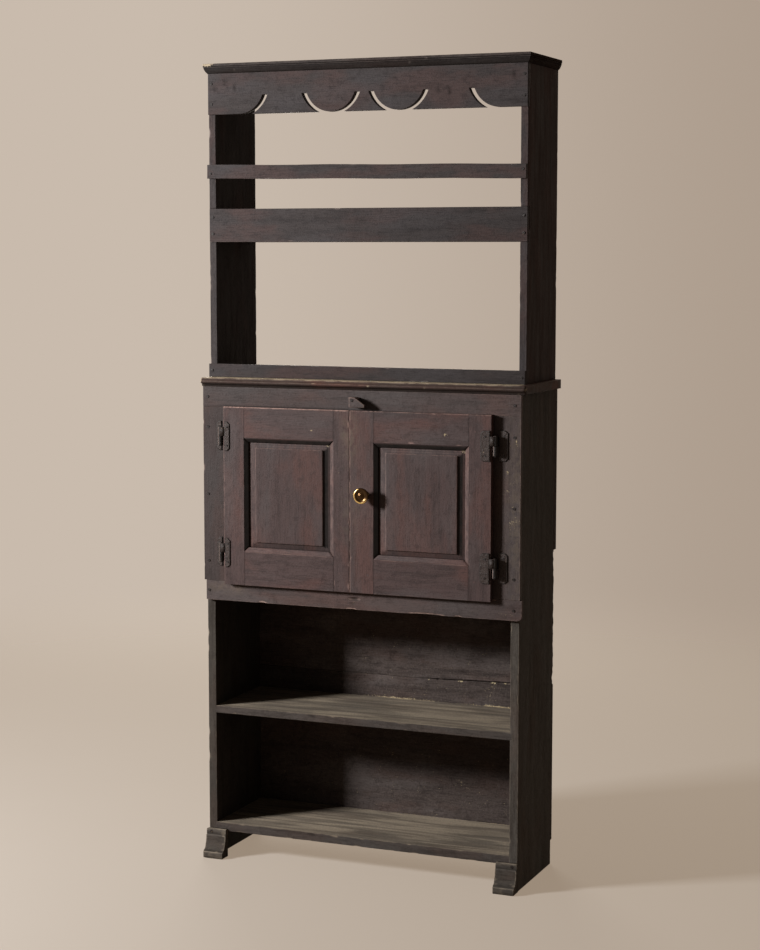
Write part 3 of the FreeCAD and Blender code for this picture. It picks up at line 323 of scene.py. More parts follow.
def mesh_piece(name, points, faces, body, slot, material, **attributes):
    """A clean mesh object that rides on a body; its attributes are what the materials read."""
    mesh = bpy.data.meshes.new(name)
    mesh.from_pydata([tuple(p) for p in points], [], [tuple(int(i) for i in f) for f in faces])
    for key, values in attributes.items():
        values = np.asarray(values, np.float32)
        kind = "FLOAT_VECTOR" if values.ndim == 2 else "FLOAT"
        data = mesh.attributes.new(key, kind, "POINT").data
        data.foreach_set("vector" if values.ndim == 2 else "value", values.ravel())
    work = bmesh.new()
    work.from_mesh(mesh)
    bmesh.ops.remove_doubles(work, verts=work.verts, dist=0.004 * MM)
    bmesh.ops.dissolve_degenerate(work, edges=work.edges, dist=0.004 * MM)
    bmesh.ops.recalc_face_normals(work, faces=work.faces)
    for face in work.faces:
        face.smooth = len(face.verts) < 5        # the many-sided caps are flat
    work.to_mesh(mesh)
    work.free()
    piece = bpy.data.objects.new(name, mesh)
    bpy.context.scene.collection.objects.link(piece)
    mesh.materials.append(material)
    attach(piece, body)
    return piece


def new_piece(name, points, faces, node, material, **attributes):
    """A mesh object that stands for the node and rides on its body."""
    piece = mesh_piece(name, points, faces, BODY[node], SLOT[node], material, **attributes)
    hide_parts(node)
    return piece


def grain_points(points, along):
    """The points turned so that their first number runs along the fibres, moved to a new part of the wood."""
    order = {"x": (0, 1, 2), "y": (1, 0, 2), "z": (2, 0, 1)}[along]
    return np.asarray(points)[:, order] + np.array([rng.uniform(-9, 9) for _ in range(3)])


def axis_lines(length, radius, step, extra=()):
    """Places of the grid lines along one side of a board: close together at both ends."""
    half = length / 2
    near = [0, 0.3 * radius, 0.65 * radius, radius, radius + 1.2 * MM, radius + 3.5 * MM]
    near = [n for n in near if n < half * 0.9]
    inner_low, inner_high = -half + near[-1], half - near[-1]
    count = max(1, math.ceil((inner_high - inner_low) / step))
    middle = np.linspace(inner_low, inner_high, count + 1)
    ends = np.array(near[:-1])
    lines = np.concatenate([ends - half, middle, half - ends, list(extra)])
    lines = np.unique(np.round(lines, 6))
    return lines[np.abs(lines) <= half + 1e-9]


def box_surface(lines):
    """Points and quads of the surface of a box with the given grid lines on its three axes."""
    points, faces, index = [], [], {}
    for axis in range(3):
        u, v = (axis + 1) % 3, (axis + 2) % 3
        for end in (0, -1):
            grid = np.zeros((len(lines[u]), len(lines[v])), int)
            for i, a in enumerate(lines[u]):
                for j, b in enumerate(lines[v]):
                    p = [0, 0, 0]
                    p[axis], p[u], p[v] = lines[axis][end], a, b
                    key = tuple(round(c * 1e6) for c in p)
                    if key not in index:
                        index[key] = len(points)
                        points.append(p)
                    grid[i, j] = index[key]
            quads = [grid[:-1, :-1], grid[1:, :-1], grid[1:, 1:], grid[:-1, 1:]]
            quads = np.stack([q.ravel() for q in quads], 1)
            faces.append(quads if end == -1 else quads[:, ::-1])
    return np.array(points), np.concatenate(faces)


def rounded(points, half, radius):
    """Move the points of a box's surface onto the same box with rounded arrises."""
    room = np.minimum(radius[:, None], half * 0.98)
    inner = np.clip(points, -(half - room), half - room)
    away = points - inner
    reach = np.linalg.norm(away, axis=1)
    scale = np.where(reach > 1e-12, np.minimum(room.min(1), reach) / np.maximum(reach, 1e-12), 1)
    return inner + away * scale[:, None]


def nicks(points, half, count, size, depth):
    """Small dents along the long arrises: how far each point moves towards the middle of the board."""
    long = int(np.argmax(half))
    others = [a for a in range(3) if a != long]
    push = np.zeros(len(points))
    for _ in range(count):
        spot = np.zeros(3)
        spot[long] = rng.uniform(-half[long], half[long])
        for a in others:
            spot[a] = half[a] * rng.choice((-1, 1))
        radius = size * rng.uniform(0.4, 1.3)
        stretch = np.ones(3)
        stretch[long] = 0.45
        away = np.linalg.norm((points - spot) * stretch, axis=1) / radius
        push = np.maximum(push, depth * rng.uniform(0.3, 1) * np.clip(1 - away ** 2, 0, 1) ** 2)
    return push


def along_edges(points, half, edges, reach):
    """Strength along chosen arrises, each named by its two sides, such as '-x-y'."""
    value = np.zeros(len(points))
    for name, strength in dict(edges).items():
        gap = np.zeros(len(points))
        for side in (name[:2], name[2:]):
            a, sign = axis_of(side)
            gap = np.maximum(gap, half[a] - points[:, a] * sign)
        value = np.maximum(value, strength * fading(gap, reach))
    return value


def spotted(points, everywhere, spots):
    """A strength at each point: a little everywhere, more near the spots (place, reach, strength)."""
    value = np.full(len(points), float(everywhere))
    for spot, reach, strength in spots:
        away = np.linalg.norm((points - np.array(spot)) / np.array(reach), axis=1)
        value = np.maximum(value, strength * np.clip(1.3 - away, 0, 1))
    return value


def board(node, along, material, radius=ARRIS, warp=0.25 * MM, dents=10, dent_depth=1.2 * MM, wear=0.3,
          edges=(), chips=0.12, chip_spots=(), soot_edges=(), soot_spots=(), smears=(), bites=(),
          dirt_and_shade=0.0, shaded=(), trim=(), lines=(), ragged=(), step=FINE, shape=None):
    """A worn plank in the place of a node, its box less what trim takes off its sides.

    shaded gives for a whole face, such as '+x', how much painted shade makes it browner and darker.  ragged
    gives how deep a face is torn, lines adds grid lines on an axis, and shape moves the finished points."""
    low, high = box_of(node)
    for side, width in dict(trim).items():
        a, sign = axis_of(side)
        (high if sign > 0 else low)[a] -= sign * width
    middle, half = (low + high) / 2, (high - low) / 2
    extra = [[place - middle[a] for place in dict(lines).get("xyz"[a], ())] for a in range(3)]
    flat, faces = box_surface([axis_lines(2 * half[a], radius, step, extra[a]) for a in range(3)])
    seed = rng.uniform(0, 50)
    points = rounded(flat, half, radius * (0.7 + 0.9 * np.abs(smooth_noise(flat, 45 * MM, seed))))
    outward = unit(np.where(np.abs(np.abs(flat) - half) < 1e-7, np.sign(flat), 0))
    rise = warp * (smooth_noise(flat, 160 * MM, seed + 3) - 0.6)
    points = points + outward * np.minimum(rise, 0)[:, None]
    push = nicks(flat, half, dents, 6 * MM, dent_depth)
    for spot, size, depth in bites:
        away = np.linalg.norm((flat + middle - np.array(spot)) / np.array(size), axis=1)
        push = np.maximum(push, depth * np.clip(1 - away ** 2, 0, 1) ** 1.5)
    points = points + unit(-np.sign(flat) * (np.abs(flat) > half - 5 * MM)) * push[:, None]
    for side, depth in dict(ragged).items():
        a, sign = axis_of(side)
        near = np.clip(1 - (half[a] - flat[:, a] * sign) / (6 * MM), 0, 1)
        line = flat.copy()
        line[:, a] = 0
        tear = np.abs(smooth_noise(line, 9 * MM, seed + 9, 3))
        tear += 0.8 * np.abs(smooth_noise(line, 60 * MM, seed + 5))
        points[:, a] -= sign * near * depth * tear
    world = points + middle
    if shape:
        world = shape(world)
    edge = wear * fading(np.sort(half - np.abs(flat), axis=1)[:, 1], 2.2 * MM)
    edge = np.maximum(edge, along_edges(flat, half, edges, 2.4 * MM))
    edge = np.maximum(edge, np.clip(push / MM, 0, 0.8))
    soot = np.maximum(along_edges(flat, half, soot_edges, 3 * MM), spotted(world, dirt_and_shade, soot_spots))
    shade = np.zeros(len(flat))
    for side, strength in dict(shaded).items():
        a, sign = axis_of(side)
        shade[flat[:, a] * sign > half[a] - 1e-7] = strength
    return new_piece(f"{node}_worn", world, faces, node, material, grain=grain_points(flat + middle, along),
                     edge=edge, chip=spotted(world, chips, chip_spots), soot=soot,
                     smear=spotted(world, 0, smears), shade=shade)


# ---------------------------------------------------------------- mouldings
def arc(cx, cy, radius, start, end, count):
    """Points on an arc, angles in degrees."""
    angles = np.radians(np.linspace(start, end, count))
    return [(cx + radius * math.cos(a), cy + radius * math.sin(a)) for a in angles]


def run_lines(span):
    """Places along a moulding: close together at both ends."""
    near = mm(0, 0.5, 1.2, 2.5)
    middle = np.linspace(5 * MM, span - 5 * MM, max(2, math.ceil(span / FINE)))
    return np.unique(np.concatenate([near, middle, [span - n for n in near]]))


def moulding(node, profile, wear, soot, span, place, along, material, end_round, dents, wobble=0.25 * MM,
             chips=0.1, chip_spots=(), painted_shadow_from=9.0):
    """A closed profile of (out, up) points run over a span; place(run, out, up) gives the world point.

    wear and the dark mark have a number for each point of the profile.  From the last argument's length along
    the run, the rubbing drops to a tenth: a painted shadow over that stretch.
    hardly worn."""
    profile = np.array(profile)
    centre = profile.mean(0)
    runs = run_lines(span)
    seed = rng.uniform(0, 50)
    points, edge = [], []
    for run in runs:
        close = min(run, span - run)
        pull = max(end_round - close, 0)
        shrink = end_round - math.sqrt(max(end_round ** 2 - pull ** 2, 0))
        for (out, up), rub in zip(profile, wear):
            toward = centre - (out, up)
            toward = toward / max(np.linalg.norm(toward), 1e-9)
            points.append(place(run, out + toward[0] * shrink, up + toward[1] * shrink))
            at_end = (0.75 if rub > 0 else 0.2) * fading(close, 3 * MM)
            edge.append(max(rub, at_end) * (1.0 if run < painted_shadow_from else 0.1))
    points, edge = np.array(points), np.array(edge)
    inward = np.tile(np.array([place(0, *centre) - place(0, *p) for p in profile]), (len(runs), 1))
    depth = wobble * (0.6 + smooth_noise(points, 30 * MM, seed)) * np.clip(edge, 0.15, 1)
    for _ in range(dents):
        spot = points[rng.randrange(len(points))]
        away = np.linalg.norm(points - spot, axis=1) / (rng.uniform(3, 8) * MM)
        dent = rng.uniform(0.3, 1.2) * MM * np.clip(1 - away ** 2, 0, 1) ** 2
        depth = np.maximum(depth, dent)
        edge = np.maximum(edge, np.clip(dent / MM, 0, 0.9))
    world = points + unit(inward, 1e-9) * np.maximum(depth, 0)[:, None]
    # The flat ends bring points of their own, hardly worn; where mesh_piece merges them with the
    # outermost rows, either may stay, so the wear along the end arrises comes and goes.
    size, count = len(profile), len(points)
    faces = tube(len(runs), size)
    faces += [tuple(range(count, count + size))[::-1], tuple(range(count + size, count + 2 * size))]
    world, points = (np.vstack((p, p[:size], p[-size:])) for p in (world, points))
    edge = np.concatenate((edge, np.full(2 * size, 0.1)))
    return new_piece(f"{node}_worn", world, faces, node, material, grain=grain_points(points, along),
                     edge=edge, chip=spotted(world, chips, chip_spots), soot=np.tile(soot, len(runs) + 2))


def along_x(low, high):
    """The place function of a moulding along X, measured from the top rear arris of a box."""
    return lambda run, out, up: np.array((low[0] + run, high[1] - out, high[2] + up))


def cornice():
    """Top fillet, reeds and a sloping ovolo, mitred at both front corners."""
    low, high = box_of("cornice_front")
    proud, wall_y = high[1] - low[1], high[1]
    tall, top = high[2] - low[2], high[2]
    right_wall = box_of("cornice_right_return")[0][0]
    left_wall = box_of("cornice_left_return")[1][0]
    span_x, span_y = right_wall - left_wall, box_of("cornice_right_return")[1][1] - wall_y
    slope = np.linspace(0.08, 0.92, 9)
    shares = [(0, 0), (0, -1), (0.08, -1), (0.16, -0.95)]
    shares += [(0.16 + 0.72 * share ** 0.7, 0.5 * share - 0.95) for share in slope]
    shares += [(0.8, -0.46), (0.8, -0.43), (0.93, -0.42), (0.95, -0.4), (0.95, -0.35), (0.93, -0.33),
               (0.82, -0.32), (0.82, -0.28), (0.97, -0.27), (1, -0.25)]
    profile = [(out * proud, up * tall) for out, up in shares]
    profile += [(proud, -1.4 * MM), (proud - 0.5 * MM, -0.4 * MM), (proud - 1.6 * MM, 0)]
    # Darker in the grooves and down the ovolo, which faces down: painted shade.
    dirt_and_shade = [0, 1, 1, 0.8, *(0.6 + 0.25 * math.sin(share * 25) for share in slope),
            1, 1, 0.5, 0.2, 0.2, 0.5, 1, 1, 0.5, 0, 0, 0, 0]
    # Rubbing on the top arris is wear; on the bead between the grooves it is a painted highlight.
    wear = [0.0] * 16 + [0.35, 0.35] + [0.0] * 4 + [0.25, 0.4, 0.6, 0.5]

    def front(run, out, up):
        return np.array((left_wall + run + out * (2 * (run / span_x) - 1), wall_y - out, top + up))

    def side(wall, way):
        """The place function of the return on one side."""
        return lambda run, out, up: np.array(
            (wall + way * out, wall_y - out * (1 - run / span_y) + run, top + up))

    corner = ((left_wall, wall_y - proud, top), mm(24, 12, 9), 1.6)
    # The right return, away from the lamp, takes the darker side wood: painted shade.
    for node, span, place, along, material, dents, chipped in (
            ("cornice_front", span_x, front, "x", CORNICE, 5, [corner]),
            ("cornice_right_return", span_y, side(right_wall, 1), "y", SIDE, 4, []),
            ("cornice_left_return", span_y, side(left_wall, -1), "y", CORNICE, 4, [corner])):
        moulding(node, profile, wear, dirt_and_shade, span, place, along, material, 0.4 * MM, dents, chip_spots=chipped)


def waist():
    """The moulded board between rack and case: worn flat top, step, round nose and hollow."""
    low, high = box_of("waist_board")
    tall, deep = high[2] - low[2], high[1] - low[1]
    nose = 10 * MM
    hollow = deep - nose + 1.2 * MM
    profile = [(0, 0), (0, -tall), (deep - nose + 1 * MM, -tall), (hollow, -tall + 1 * MM)]
    profile += [(hollow + (nose - 3.4 * MM) * (1 - math.cos(t)), -tall + 1 * MM + 6.5 * MM * math.sin(t))
                for t in np.linspace(0.25, math.pi / 2, 6)]
    profile += arc(deep - 5 * MM, -10 * MM, 5 * MM, -62, 62, 11)
    profile += [(deep - out * MM, up * MM) for out, up in (
        (3.4, -4.2), (3.2, -1.6), (3.8, -0.5), (5.5, 0), (9, 0), (16, 0), (30, 0), (44, 0), (50, 0))]
    wear = [0.0] * 14 + [0.05, 0.12, 0.2, 0.2, 0.15, 0.1, 0.1, 0.12, 0.3, 0.6, 0.95, 1.15, 1.1, 1.0, 0.8, 0.1]
    # Darker in the hollow and under the nose, which face down: painted shade.
    dirt_and_shade = [0, 0, 1] + [0.9] * 7 + [0.8, 0.7, 0.55, 0.4, 0.2, 0.1, 0, 0, 0, 0.1, 0.3, 0.4, 0.1] + [0] * 7
    gouge = (high[0] - 8 * MM, low[1] + 4 * MM, high[2] - 10 * MM)
    # Past the rack's right side the top's rubbing is left off: painted shadow of the rack's side.
    moulding("waist_board", profile, wear, dirt_and_shade, high[0] - low[0], along_x(low, high), "x", MOULD,
             3.5 * MM, 10, wobble=0.4 * MM, chip_spots=[(gouge, mm(10, 20, 8), 0.6)],
             painted_shadow_from=box_of("rack_right_side")[1][0] - low[0])


def feet():
    """Moulded foot blocks: upright band, hollow and toe."""
    for node in ("left_foot", "right_foot"):
        low, high = box_of(node)
        tall, reach = high[2] - low[2], high[1] - low[1]
        neck = 12 * MM
        profile = [(0, 0), (0, -tall)]
        profile += [(reach - out * MM, up * MM - tall) for out, up in (
            (0.8, 0), (0, 1), (0, 14), (0.8, 15.5), (2.6, 16.6))]
        start, end = (reach - 3.2 * MM, -tall + 18 * MM), (neck + 2.6 * MM, -14.2 * MM)
        steps = np.linspace(0.0, 1.0, 12)
        for t in steps:
            lean, rise = math.sin(t * math.pi / 2), 1 - math.cos(t * math.pi / 2)
            profile.append((start[0] + (end[0] - start[0]) * lean, start[1] + (end[1] - start[1]) * rise))
        profile += [(neck + out * MM, up * MM) for out, up in ((0.2, -14), (0, -13.4), (0, -1.2), (-1, 0))]
        wear = [0.1, 0.2, 0.5, 0.5, 0.3, 0.75, 0.5] + [0.1] * 12 + [0, 0, 0.5, 0.9]
        # Darker down the hollow towards its foot: painted shade.  Also darker along the floor and in the
        # crease under the upright band.
        dirt_and_shade = [0, 0.6, 0.6, 0.35, 0.2, 0, 0.2] + [0.55 - 0.5 * t for t in steps] + [0.85, 0.6, 0.1, 0]
        toe = ((low[0] + high[0]) / 2, low[1], low[2])
        moulding(node, profile, wear, dirt_and_shade, high[0] - low[0], along_x(low, high), "x", EDGE, 1.6 * MM, 12,
                 wobble=0.5 * MM, chips=0.2, chip_spots=[(toe, mm(30, 8, 5), 0.6)])


# ---------------------------------------------------------------- sawn shapes
def dense(outline, step):
    """The closed outline with points no further apart than step."""
    points = []
    for first, second in zip(outline, list(outline[1:]) + [outline[0]]):
        first, second = np.array(first, float), np.array(second, float)
        count = max(1, math.ceil(np.linalg.norm(second - first) / step))
        points += [first + (second - first) * k / count for k in range(count)]
    return np.array(points)


def inside(points, outline):
    """Whether each point lies inside the closed outline."""
    x, z = points[:, 0][:, None], points[:, 1][:, None]
    ax, az = outline[:, 0][None], outline[:, 1][None]
    bx, bz = np.roll(outline[:, 0], -1)[None], np.roll(outline[:, 1], -1)[None]
    crosses = (az > z) != (bz > z)
    where = ax + (z - az) * (bx - ax) / np.where(np.abs(bz - az) < 1e-12, 1e-12, bz - az)
    return (crosses & (x < where)).sum(1) % 2 == 1


def outline_distance(points, outline):
    """Distance of each point to the nearest point of a dense outline."""
    best = np.full(len(points), 9.0)
    for start in range(0, len(outline), 200):
        part = outline[start:start + 200]
        best = np.minimum(best, np.linalg.norm(points[:, None] - part[None], axis=2).min(1))
    return best


def slab(outline, step, radius, edge_step):
    """A flat sawn shape: its points (x, z), triangles, rim point numbers, and each point's gap to the rim."""
    rim = dense(outline, edge_step)
    following = np.roll(rim, -1, 0) - np.roll(rim, 1, 0)
    normal = unit(np.stack([-following[:, 1], following[:, 0]], 1), 1e-12)
    if not inside(rim[:1] + normal[:1] * edge_step * 0.2, rim)[0]:
        normal = -normal
    rings = []
    for depth in (0.35 * radius, radius, radius + 1.6 * MM):
        ring = rim + normal * depth
        keep = inside(ring, rim) & (outline_distance(ring, rim) > 0.9 * depth)
        rings.append(ring[keep])
    low, high = rim.min(0), rim.max(0)
    xs = np.arange(low[0] + step / 2, high[0], step)
    zs = np.arange(low[1] + step / 2, high[1], step)
    grid = np.array([(x, z) for x in xs for z in zs])
    keep = inside(grid, rim) & (outline_distance(grid, rim) > radius + 3.0 * MM)
    flat = np.concatenate([rim, *rings, grid[keep]])
    size = len(rim)
    border = [(i, (i + 1) % size) for i in range(size)]
    vectors = [Vector(p) for p in flat]
    result = geometry.delaunay_2d_cdt(vectors, border, [], 1, 1e-7)
    where = np.array([tuple(v) for v in result[0]])
    origin = {}
    for made, sources in enumerate(result[3]):
        for source in sources:
            origin[source] = made
    rim_index = [origin[i] for i in range(size)]
    return where, [tuple(face) for face in result[2]], rim_index, outline_distance(where, rim)


def round_off(gap, radius):
    """How far a face falls back at a gap from an arris of the given radius."""
    return np.where(gap < radius, radius - np.sqrt(np.maximum(radius ** 2 - (radius - gap) ** 2, 0)), 0)


def plate(where, triangles, rim, front, back):
    """Points and faces of a slab between y = front and y = back, numbers or one for each point."""
    count = len(where)
    points = [np.stack([where[:, 0], np.broadcast_to(y, count), where[:, 1]], 1) for y in (front, back)]
    faces = [*triangles, *(tuple(i + count for i in face[::-1]) for face in triangles)]
    faces += [(a, b, b + count, a + count) for a, b in zip(rim, rim[1:] + rim[:1])]
    return np.concatenate(points), faces


LOBE_RADIUS = 67.5 * MM
LOBE_SPACING = 177 * MM
LOBE_SHIFT = 3.5 * MM
LEFT_LOBE_INSET = 86 * MM
RIGHT_LOBE_INSET = 69 * MM
SLOT_RADIUS = 82 * MM
SLOT_RISE = 6.5 * MM
SLOT_HEIGHT = 46 * MM


def frieze_outline(low, high):
    """The pierced board: straight top and sides, round drops between curved slots along the bottom."""
    middle = (low[0] + high[0]) / 2 + LOBE_SHIFT
    base = low[2]
    drop = base + LOBE_RADIUS
    outer = drop + SLOT_RISE
    top = base + SLOT_HEIGHT

    def bow(centre, side, height, radius, start, end, count):
        """Points of an arc about (centre, height), bulging towards side."""
        return [(centre + side * radius * math.cos(a), height + radius * math.sin(a))
                for a in (start + (end - start) * level for level in np.linspace(0, 1, count))]

    def slot(centre, side):
        """Points of one slot from its outer foot up, over and down the drop to its lowest point."""
        foot = math.atan2(base - outer, math.sqrt(SLOT_RADIUS ** 2 - (base - outer) ** 2))
        head, neck = math.asin((top - outer) / SLOT_RADIUS), math.asin((top - drop) / LOBE_RADIUS)
        return (bow(centre, side, outer, SLOT_RADIUS, foot, head, 16)
                + bow(centre, side, drop, LOBE_RADIUS, neck, -math.pi / 2, 20))

    outline = [(low[0], base), *slot(low[0] + LEFT_LOBE_INSET, 1)[::-1]]
    for centre in (middle - LOBE_SPACING / 2, middle + LOBE_SPACING / 2):
        outline += slot(centre, -1) + slot(centre, 1)[::-1][1:]
    outline += slot(high[0] - RIGHT_LOBE_INSET, -1)
    return outline + [(high[0], base), (high[0], high[2]), (low[0], high[2])]


def frieze():
    """The sawn frieze board with its old nail holes."""
    low, high = box_of("frieze")
    front, top = low[1], high[2]
    radius = 0.8 * MM
    where, triangles, rim, gap = slab(frieze_outline(low, high), FINE, radius, 1.8 * MM)
    plane = np.stack([where[:, 0], np.zeros(len(where)), where[:, 1]], 1)
    sink = 0.2 * MM * np.maximum(0.4 + smooth_noise(plane, 140 * MM, rng.uniform(0, 50)), 0)
    fall = round_off(gap, radius)
    points, faces = plate(where, triangles, rim, front + fall + sink, high[1] - fall * 0.6)
    edge = 0.3 * fading(gap, 2.2 * MM)
    chips = [((low[0] + 45 * MM, front, top - 80 * MM), mm(14, 9, 6), 0.35)]
    holes = [((low[0] + x * MM, front, top - z * MM), mm(5, 9, 9), 0.7)
             for x, z in ((48, 44), (20, 62), (74, 60), (610, 80), (640, 84), (800, 50))]
    new_piece("frieze_worn", points, faces, "frieze", RACK, grain=grain_points(points, "x"),
              edge=np.concatenate([edge, edge * 0.5]), chip=spotted(points, 0.12, chips),
              soot=spotted(points, 0, holes))


# ---------------------------------------------------------------- door panels
def ring_points(rect, nx, nz):
    """Points round a rectangle (x0, x1, z0, z1, y), the same count for any rectangle."""
    x0, x1, z0, z1, y = rect
    points = [(x0 + (x1 - x0) * i / nx, y, z0) for i in range(nx)]
    points += [(x1, y, z0 + (z1 - z0) * i / nz) for i in range(nz)]
    points += [(x1 - (x1 - x0) * i / nx, y, z1) for i in range(nx)]
    points += [(x0, y, z1 - (z1 - z0) * i / nz) for i in range(nz)]
    return points


MOULD_WIDTH = 11 * MM        # bevel on the inner edges of a door's frame
TENON_REACH = 34 * MM
PANEL_IN_GROOVE = 9.7 * MM
SIDE_MARGIN = 19.5 * MM
END_MARGIN = 13.5 * MM


def raised_panel(side):
    """A panel with a sunk margin and a step up to its raised field."""
    node = f"{side}_door_panel"
    low, high = box_of(node)
    face = box_of(f"{side}_door_top_rail")[0][1]
    rim_y, foot_y, field_y = face + 9.15 * MM, face + 6.8 * MM, face + 3 * MM
    steps = [(-PANEL_IN_GROOVE, rim_y + 0.3 * MM), (-0.6 * MM, rim_y), (0.3 * MM, rim_y)]
    steps += [(0.3 * MM + t, rim_y + (foot_y - rim_y) * t) for t in np.linspace(0.14, 0.97, 7)]
    steps += [(0.985, foot_y), (1.0, foot_y - 0.5 * MM)]
    steps += [(1.004, field_y + 0.7 * MM), (1.03, field_y + 0.1 * MM), (1.12, field_y)]

    def inset(place, margin):
        """A step's place is in metres up to the sight edge, then in shares of the margin."""
        return PANEL_IN_GROOVE + (place if place < 0.5 * MM else place * margin)

    nx, nz = 36, 44
    size = 2 * (nx + nz)
    points = []
    for place, y in steps:
        ix, iz = inset(place, SIDE_MARGIN), inset(place, END_MARGIN)
        x0, x1, z0, z1 = low[0] + ix, high[0] - ix, low[2] + iz, high[2] - iz
        points += ring_points((x0, x1, z0, z1, y), nx, nz)
    faces = tube(len(steps), size)
    last = (len(steps) - 1) * size
    grid = np.zeros((nx + 1, nz + 1), int)
    grid[1:-1, 1:-1] = len(points) + np.arange((nx - 1) * (nz - 1)).reshape(nx - 1, nz - 1)
    grid[0] = last + size - np.arange(nz + 1)
    grid[:, nz] = last + 2 * nx + nz - np.arange(nx + 1)
    grid[nx] = last + nx + np.arange(nz + 1)
    grid[:, 0] = last + np.arange(nx + 1)
    points += [(x0 + (x1 - x0) * i / nx, field_y, z0 + (z1 - z0) * k / nz)
               for i in range(1, nx) for k in range(1, nz)]
    faces += [(grid[i, k], grid[i + 1, k], grid[i + 1, k + 1], grid[i, k + 1])
              for i in range(nx) for k in range(nz)]
    base = len(points)
    points = np.array(points + ring_points((low[0], high[0], low[2], high[2], high[1]), nx, nz))
    faces += [(j, base + j, base + (j + 1) % size, (j + 1) % size) for j in range(size)]
    faces.append(tuple(range(base, base + size))[::-1])
    seed = rng.uniform(0, 50)
    front = points[:, 1] < high[1] - 0.5 * MM
    points[front, 1] += 0.3 * MM * np.maximum(smooth_noise(points[front], 90 * MM, seed) + 0.3, 0)
    west = (points[:, 0] - low[0] - PANEL_IN_GROOVE) / SIDE_MARGIN
    east = (high[0] - PANEL_IN_GROOVE - points[:, 0]) / SIDE_MARGIN
    south = (points[:, 2] - low[2] - PANEL_IN_GROOVE) / END_MARGIN
    north = (high[2] - PANEL_IN_GROOVE - points[:, 2]) / END_MARGIN
    nearest = np.minimum(np.minimum(west, east), np.minimum(south, north))
    margin = nearest < 0.995
    # Darker margins: on the right side a broad strip by the field, painted shadow of the field's step; under
    # the field a dark line, painted shade; across the top margin two thin dark lines.  Along the frame's
    # edge, except on the left, a narrow darkening: painted shade.
    soot = np.zeros(len(points))
    for way, dirt_and_shade in ((east, 0.45 + 0.6 * np.clip((east - 0.28) / 0.15, 0, 1)),
                      (south, 0.45 + 0.55 * (south > 0.9)),
                      (north, 0.5 * (np.abs(north - 0.42) < 0.08) + 0.5 * (np.abs(north - 0.83) < 0.08))):
        soot = np.where(margin & (way == nearest), dirt_and_shade, soot)
    soot = np.maximum(soot, 0.9 * fading(nearest, 0.06) * (west > nearest + 1e-6))
    soot = np.maximum(np.where(front, soot, 0), 0.18 if side == "left" else 0.1)
    # The left and top margins are lighter, a painted highlight; by the field's step the rubbing is wear.
    edge = np.maximum(0.45 * fading(nearest - 1.03, 0.06),
                      0.22 * np.where(margin & ((west == nearest) | (north == nearest)), 1, 0))
    corner = (high[0] - PANEL_IN_GROOVE - 4 * MM, rim_y, high[2] - PANEL_IN_GROOVE - 3 * MM)
    new_piece(f"{node}_worn", points, faces, node, DOOR, grain=grain_points(points, "z"),
              edge=np.where(front, edge, 0), chip=spotted(points, 0.13, [(corner, mm(12, 9, 7), 1.0)]),
              soot=soot)


def door_opening(side):
    """The rectangle (x0, x1, z0, z1) where the bevel round the panel meets the face of the frame."""
    top, bottom = box_of(f"{side}_door_top_rail"), box_of(f"{side}_door_bottom_rail")
    return (top[0][0] + TENON_REACH, top[1][0] - TENON_REACH,
            bottom[1][2] - MOULD_WIDTH, top[0][2] + MOULD_WIDTH)


def bevel_ring(side):
    """The mitred inner edge of a door's frame: four strips with a bevel, grooved for the panel."""
    x0, x1, z0, z1 = door_opening(side)
    low, high = box_of(f"{side}_door_hinge_stile")
    face, thick = low[1], high[1] - low[1]
    profile = [mm(out, depth) for out, depth in (
        (-0.2, 0.55), (0.5, 0.8), (4, 2.25), (7.5, 3.75), (10.2, 4.8), (10.8, 5.2), (11, 5.8), (11, 8.9),
        (1.3, 8.9), (1.3, 14.1), (11, 14.1), (11, 16.6), (10.6, 16.95), (-0.2, 16.95))]
    strips = (  # start corner, direction, inward, rubbed and painted highlight, grime and painted shade, width at the face that is less darkened
        # The left and top strips, turned from the lamp, are dark: painted shade; the right and bottom ones
        # are lighter: wear and painted highlight.
        ((x0, z0), (0, z1 - z0), (1, 0), 0.0, 1.1, 0.0),
        ((x1, z0), (0, z1 - z0), (-1, 0), 0.27, 0.0, 0.0),
        ((x0, z1), (x1 - x0, 0), (0, -1), 0.0, 1.05, 2 * MM),
        ((x0, z0), (x1 - x0, 0), (0, 1), 0.17, 0.0, 0.0))
    points, faces, grain, edge, soot = [], [], [], [], []
    for start, way, inward, rubbed, dirt_and_shade, clean in strips:
        length = max(way)
        stations = np.linspace(0, 1, math.ceil(length / FINE) + 1)
        faces += capped_tube(len(stations), len(profile), len(points))
        shift = np.array([rng.uniform(-9, 9) for _ in range(3)])
        for share in stations:
            for out, depth in profile:
                reach = max(out, 0) + 0.04 * MM
                run = reach + (length - 2 * reach) * share
                x, z = (start[a] + way[a] / length * run + inward[a] * out for a in (0, 1))
                wave = 0.25 * MM * max(noise.noise(Vector((x, depth, z)) / (30 * MM)), 0)
                points.append((x, face + depth + (wave if depth < 0.5 * thick else 0), z))
                grain.append(np.array((run, out, depth)) + shift)
                edge.append(rubbed * (1.0 if 0 < out and depth < 6 * MM else 0.5))
                # Darker in the mitred corners of the deep part.
                from_corner = max(min(run, length - run) - out, 0)
                corner_darkening = 0.7 * fading(from_corner, 2.5 * MM) if depth > 4 * MM else 0
                soot.append(max(dirt_and_shade * (0.25 if out < clean else 1.0), corner_darkening))
    mesh_piece(f"{side}_door_bevel", points, faces, f"{side}_door", SLOT[f"{side}_door_top_rail"], DOOR,
               grain=np.array(grain), edge=edge, chip=np.full(len(points), 0.12), soot=soot)


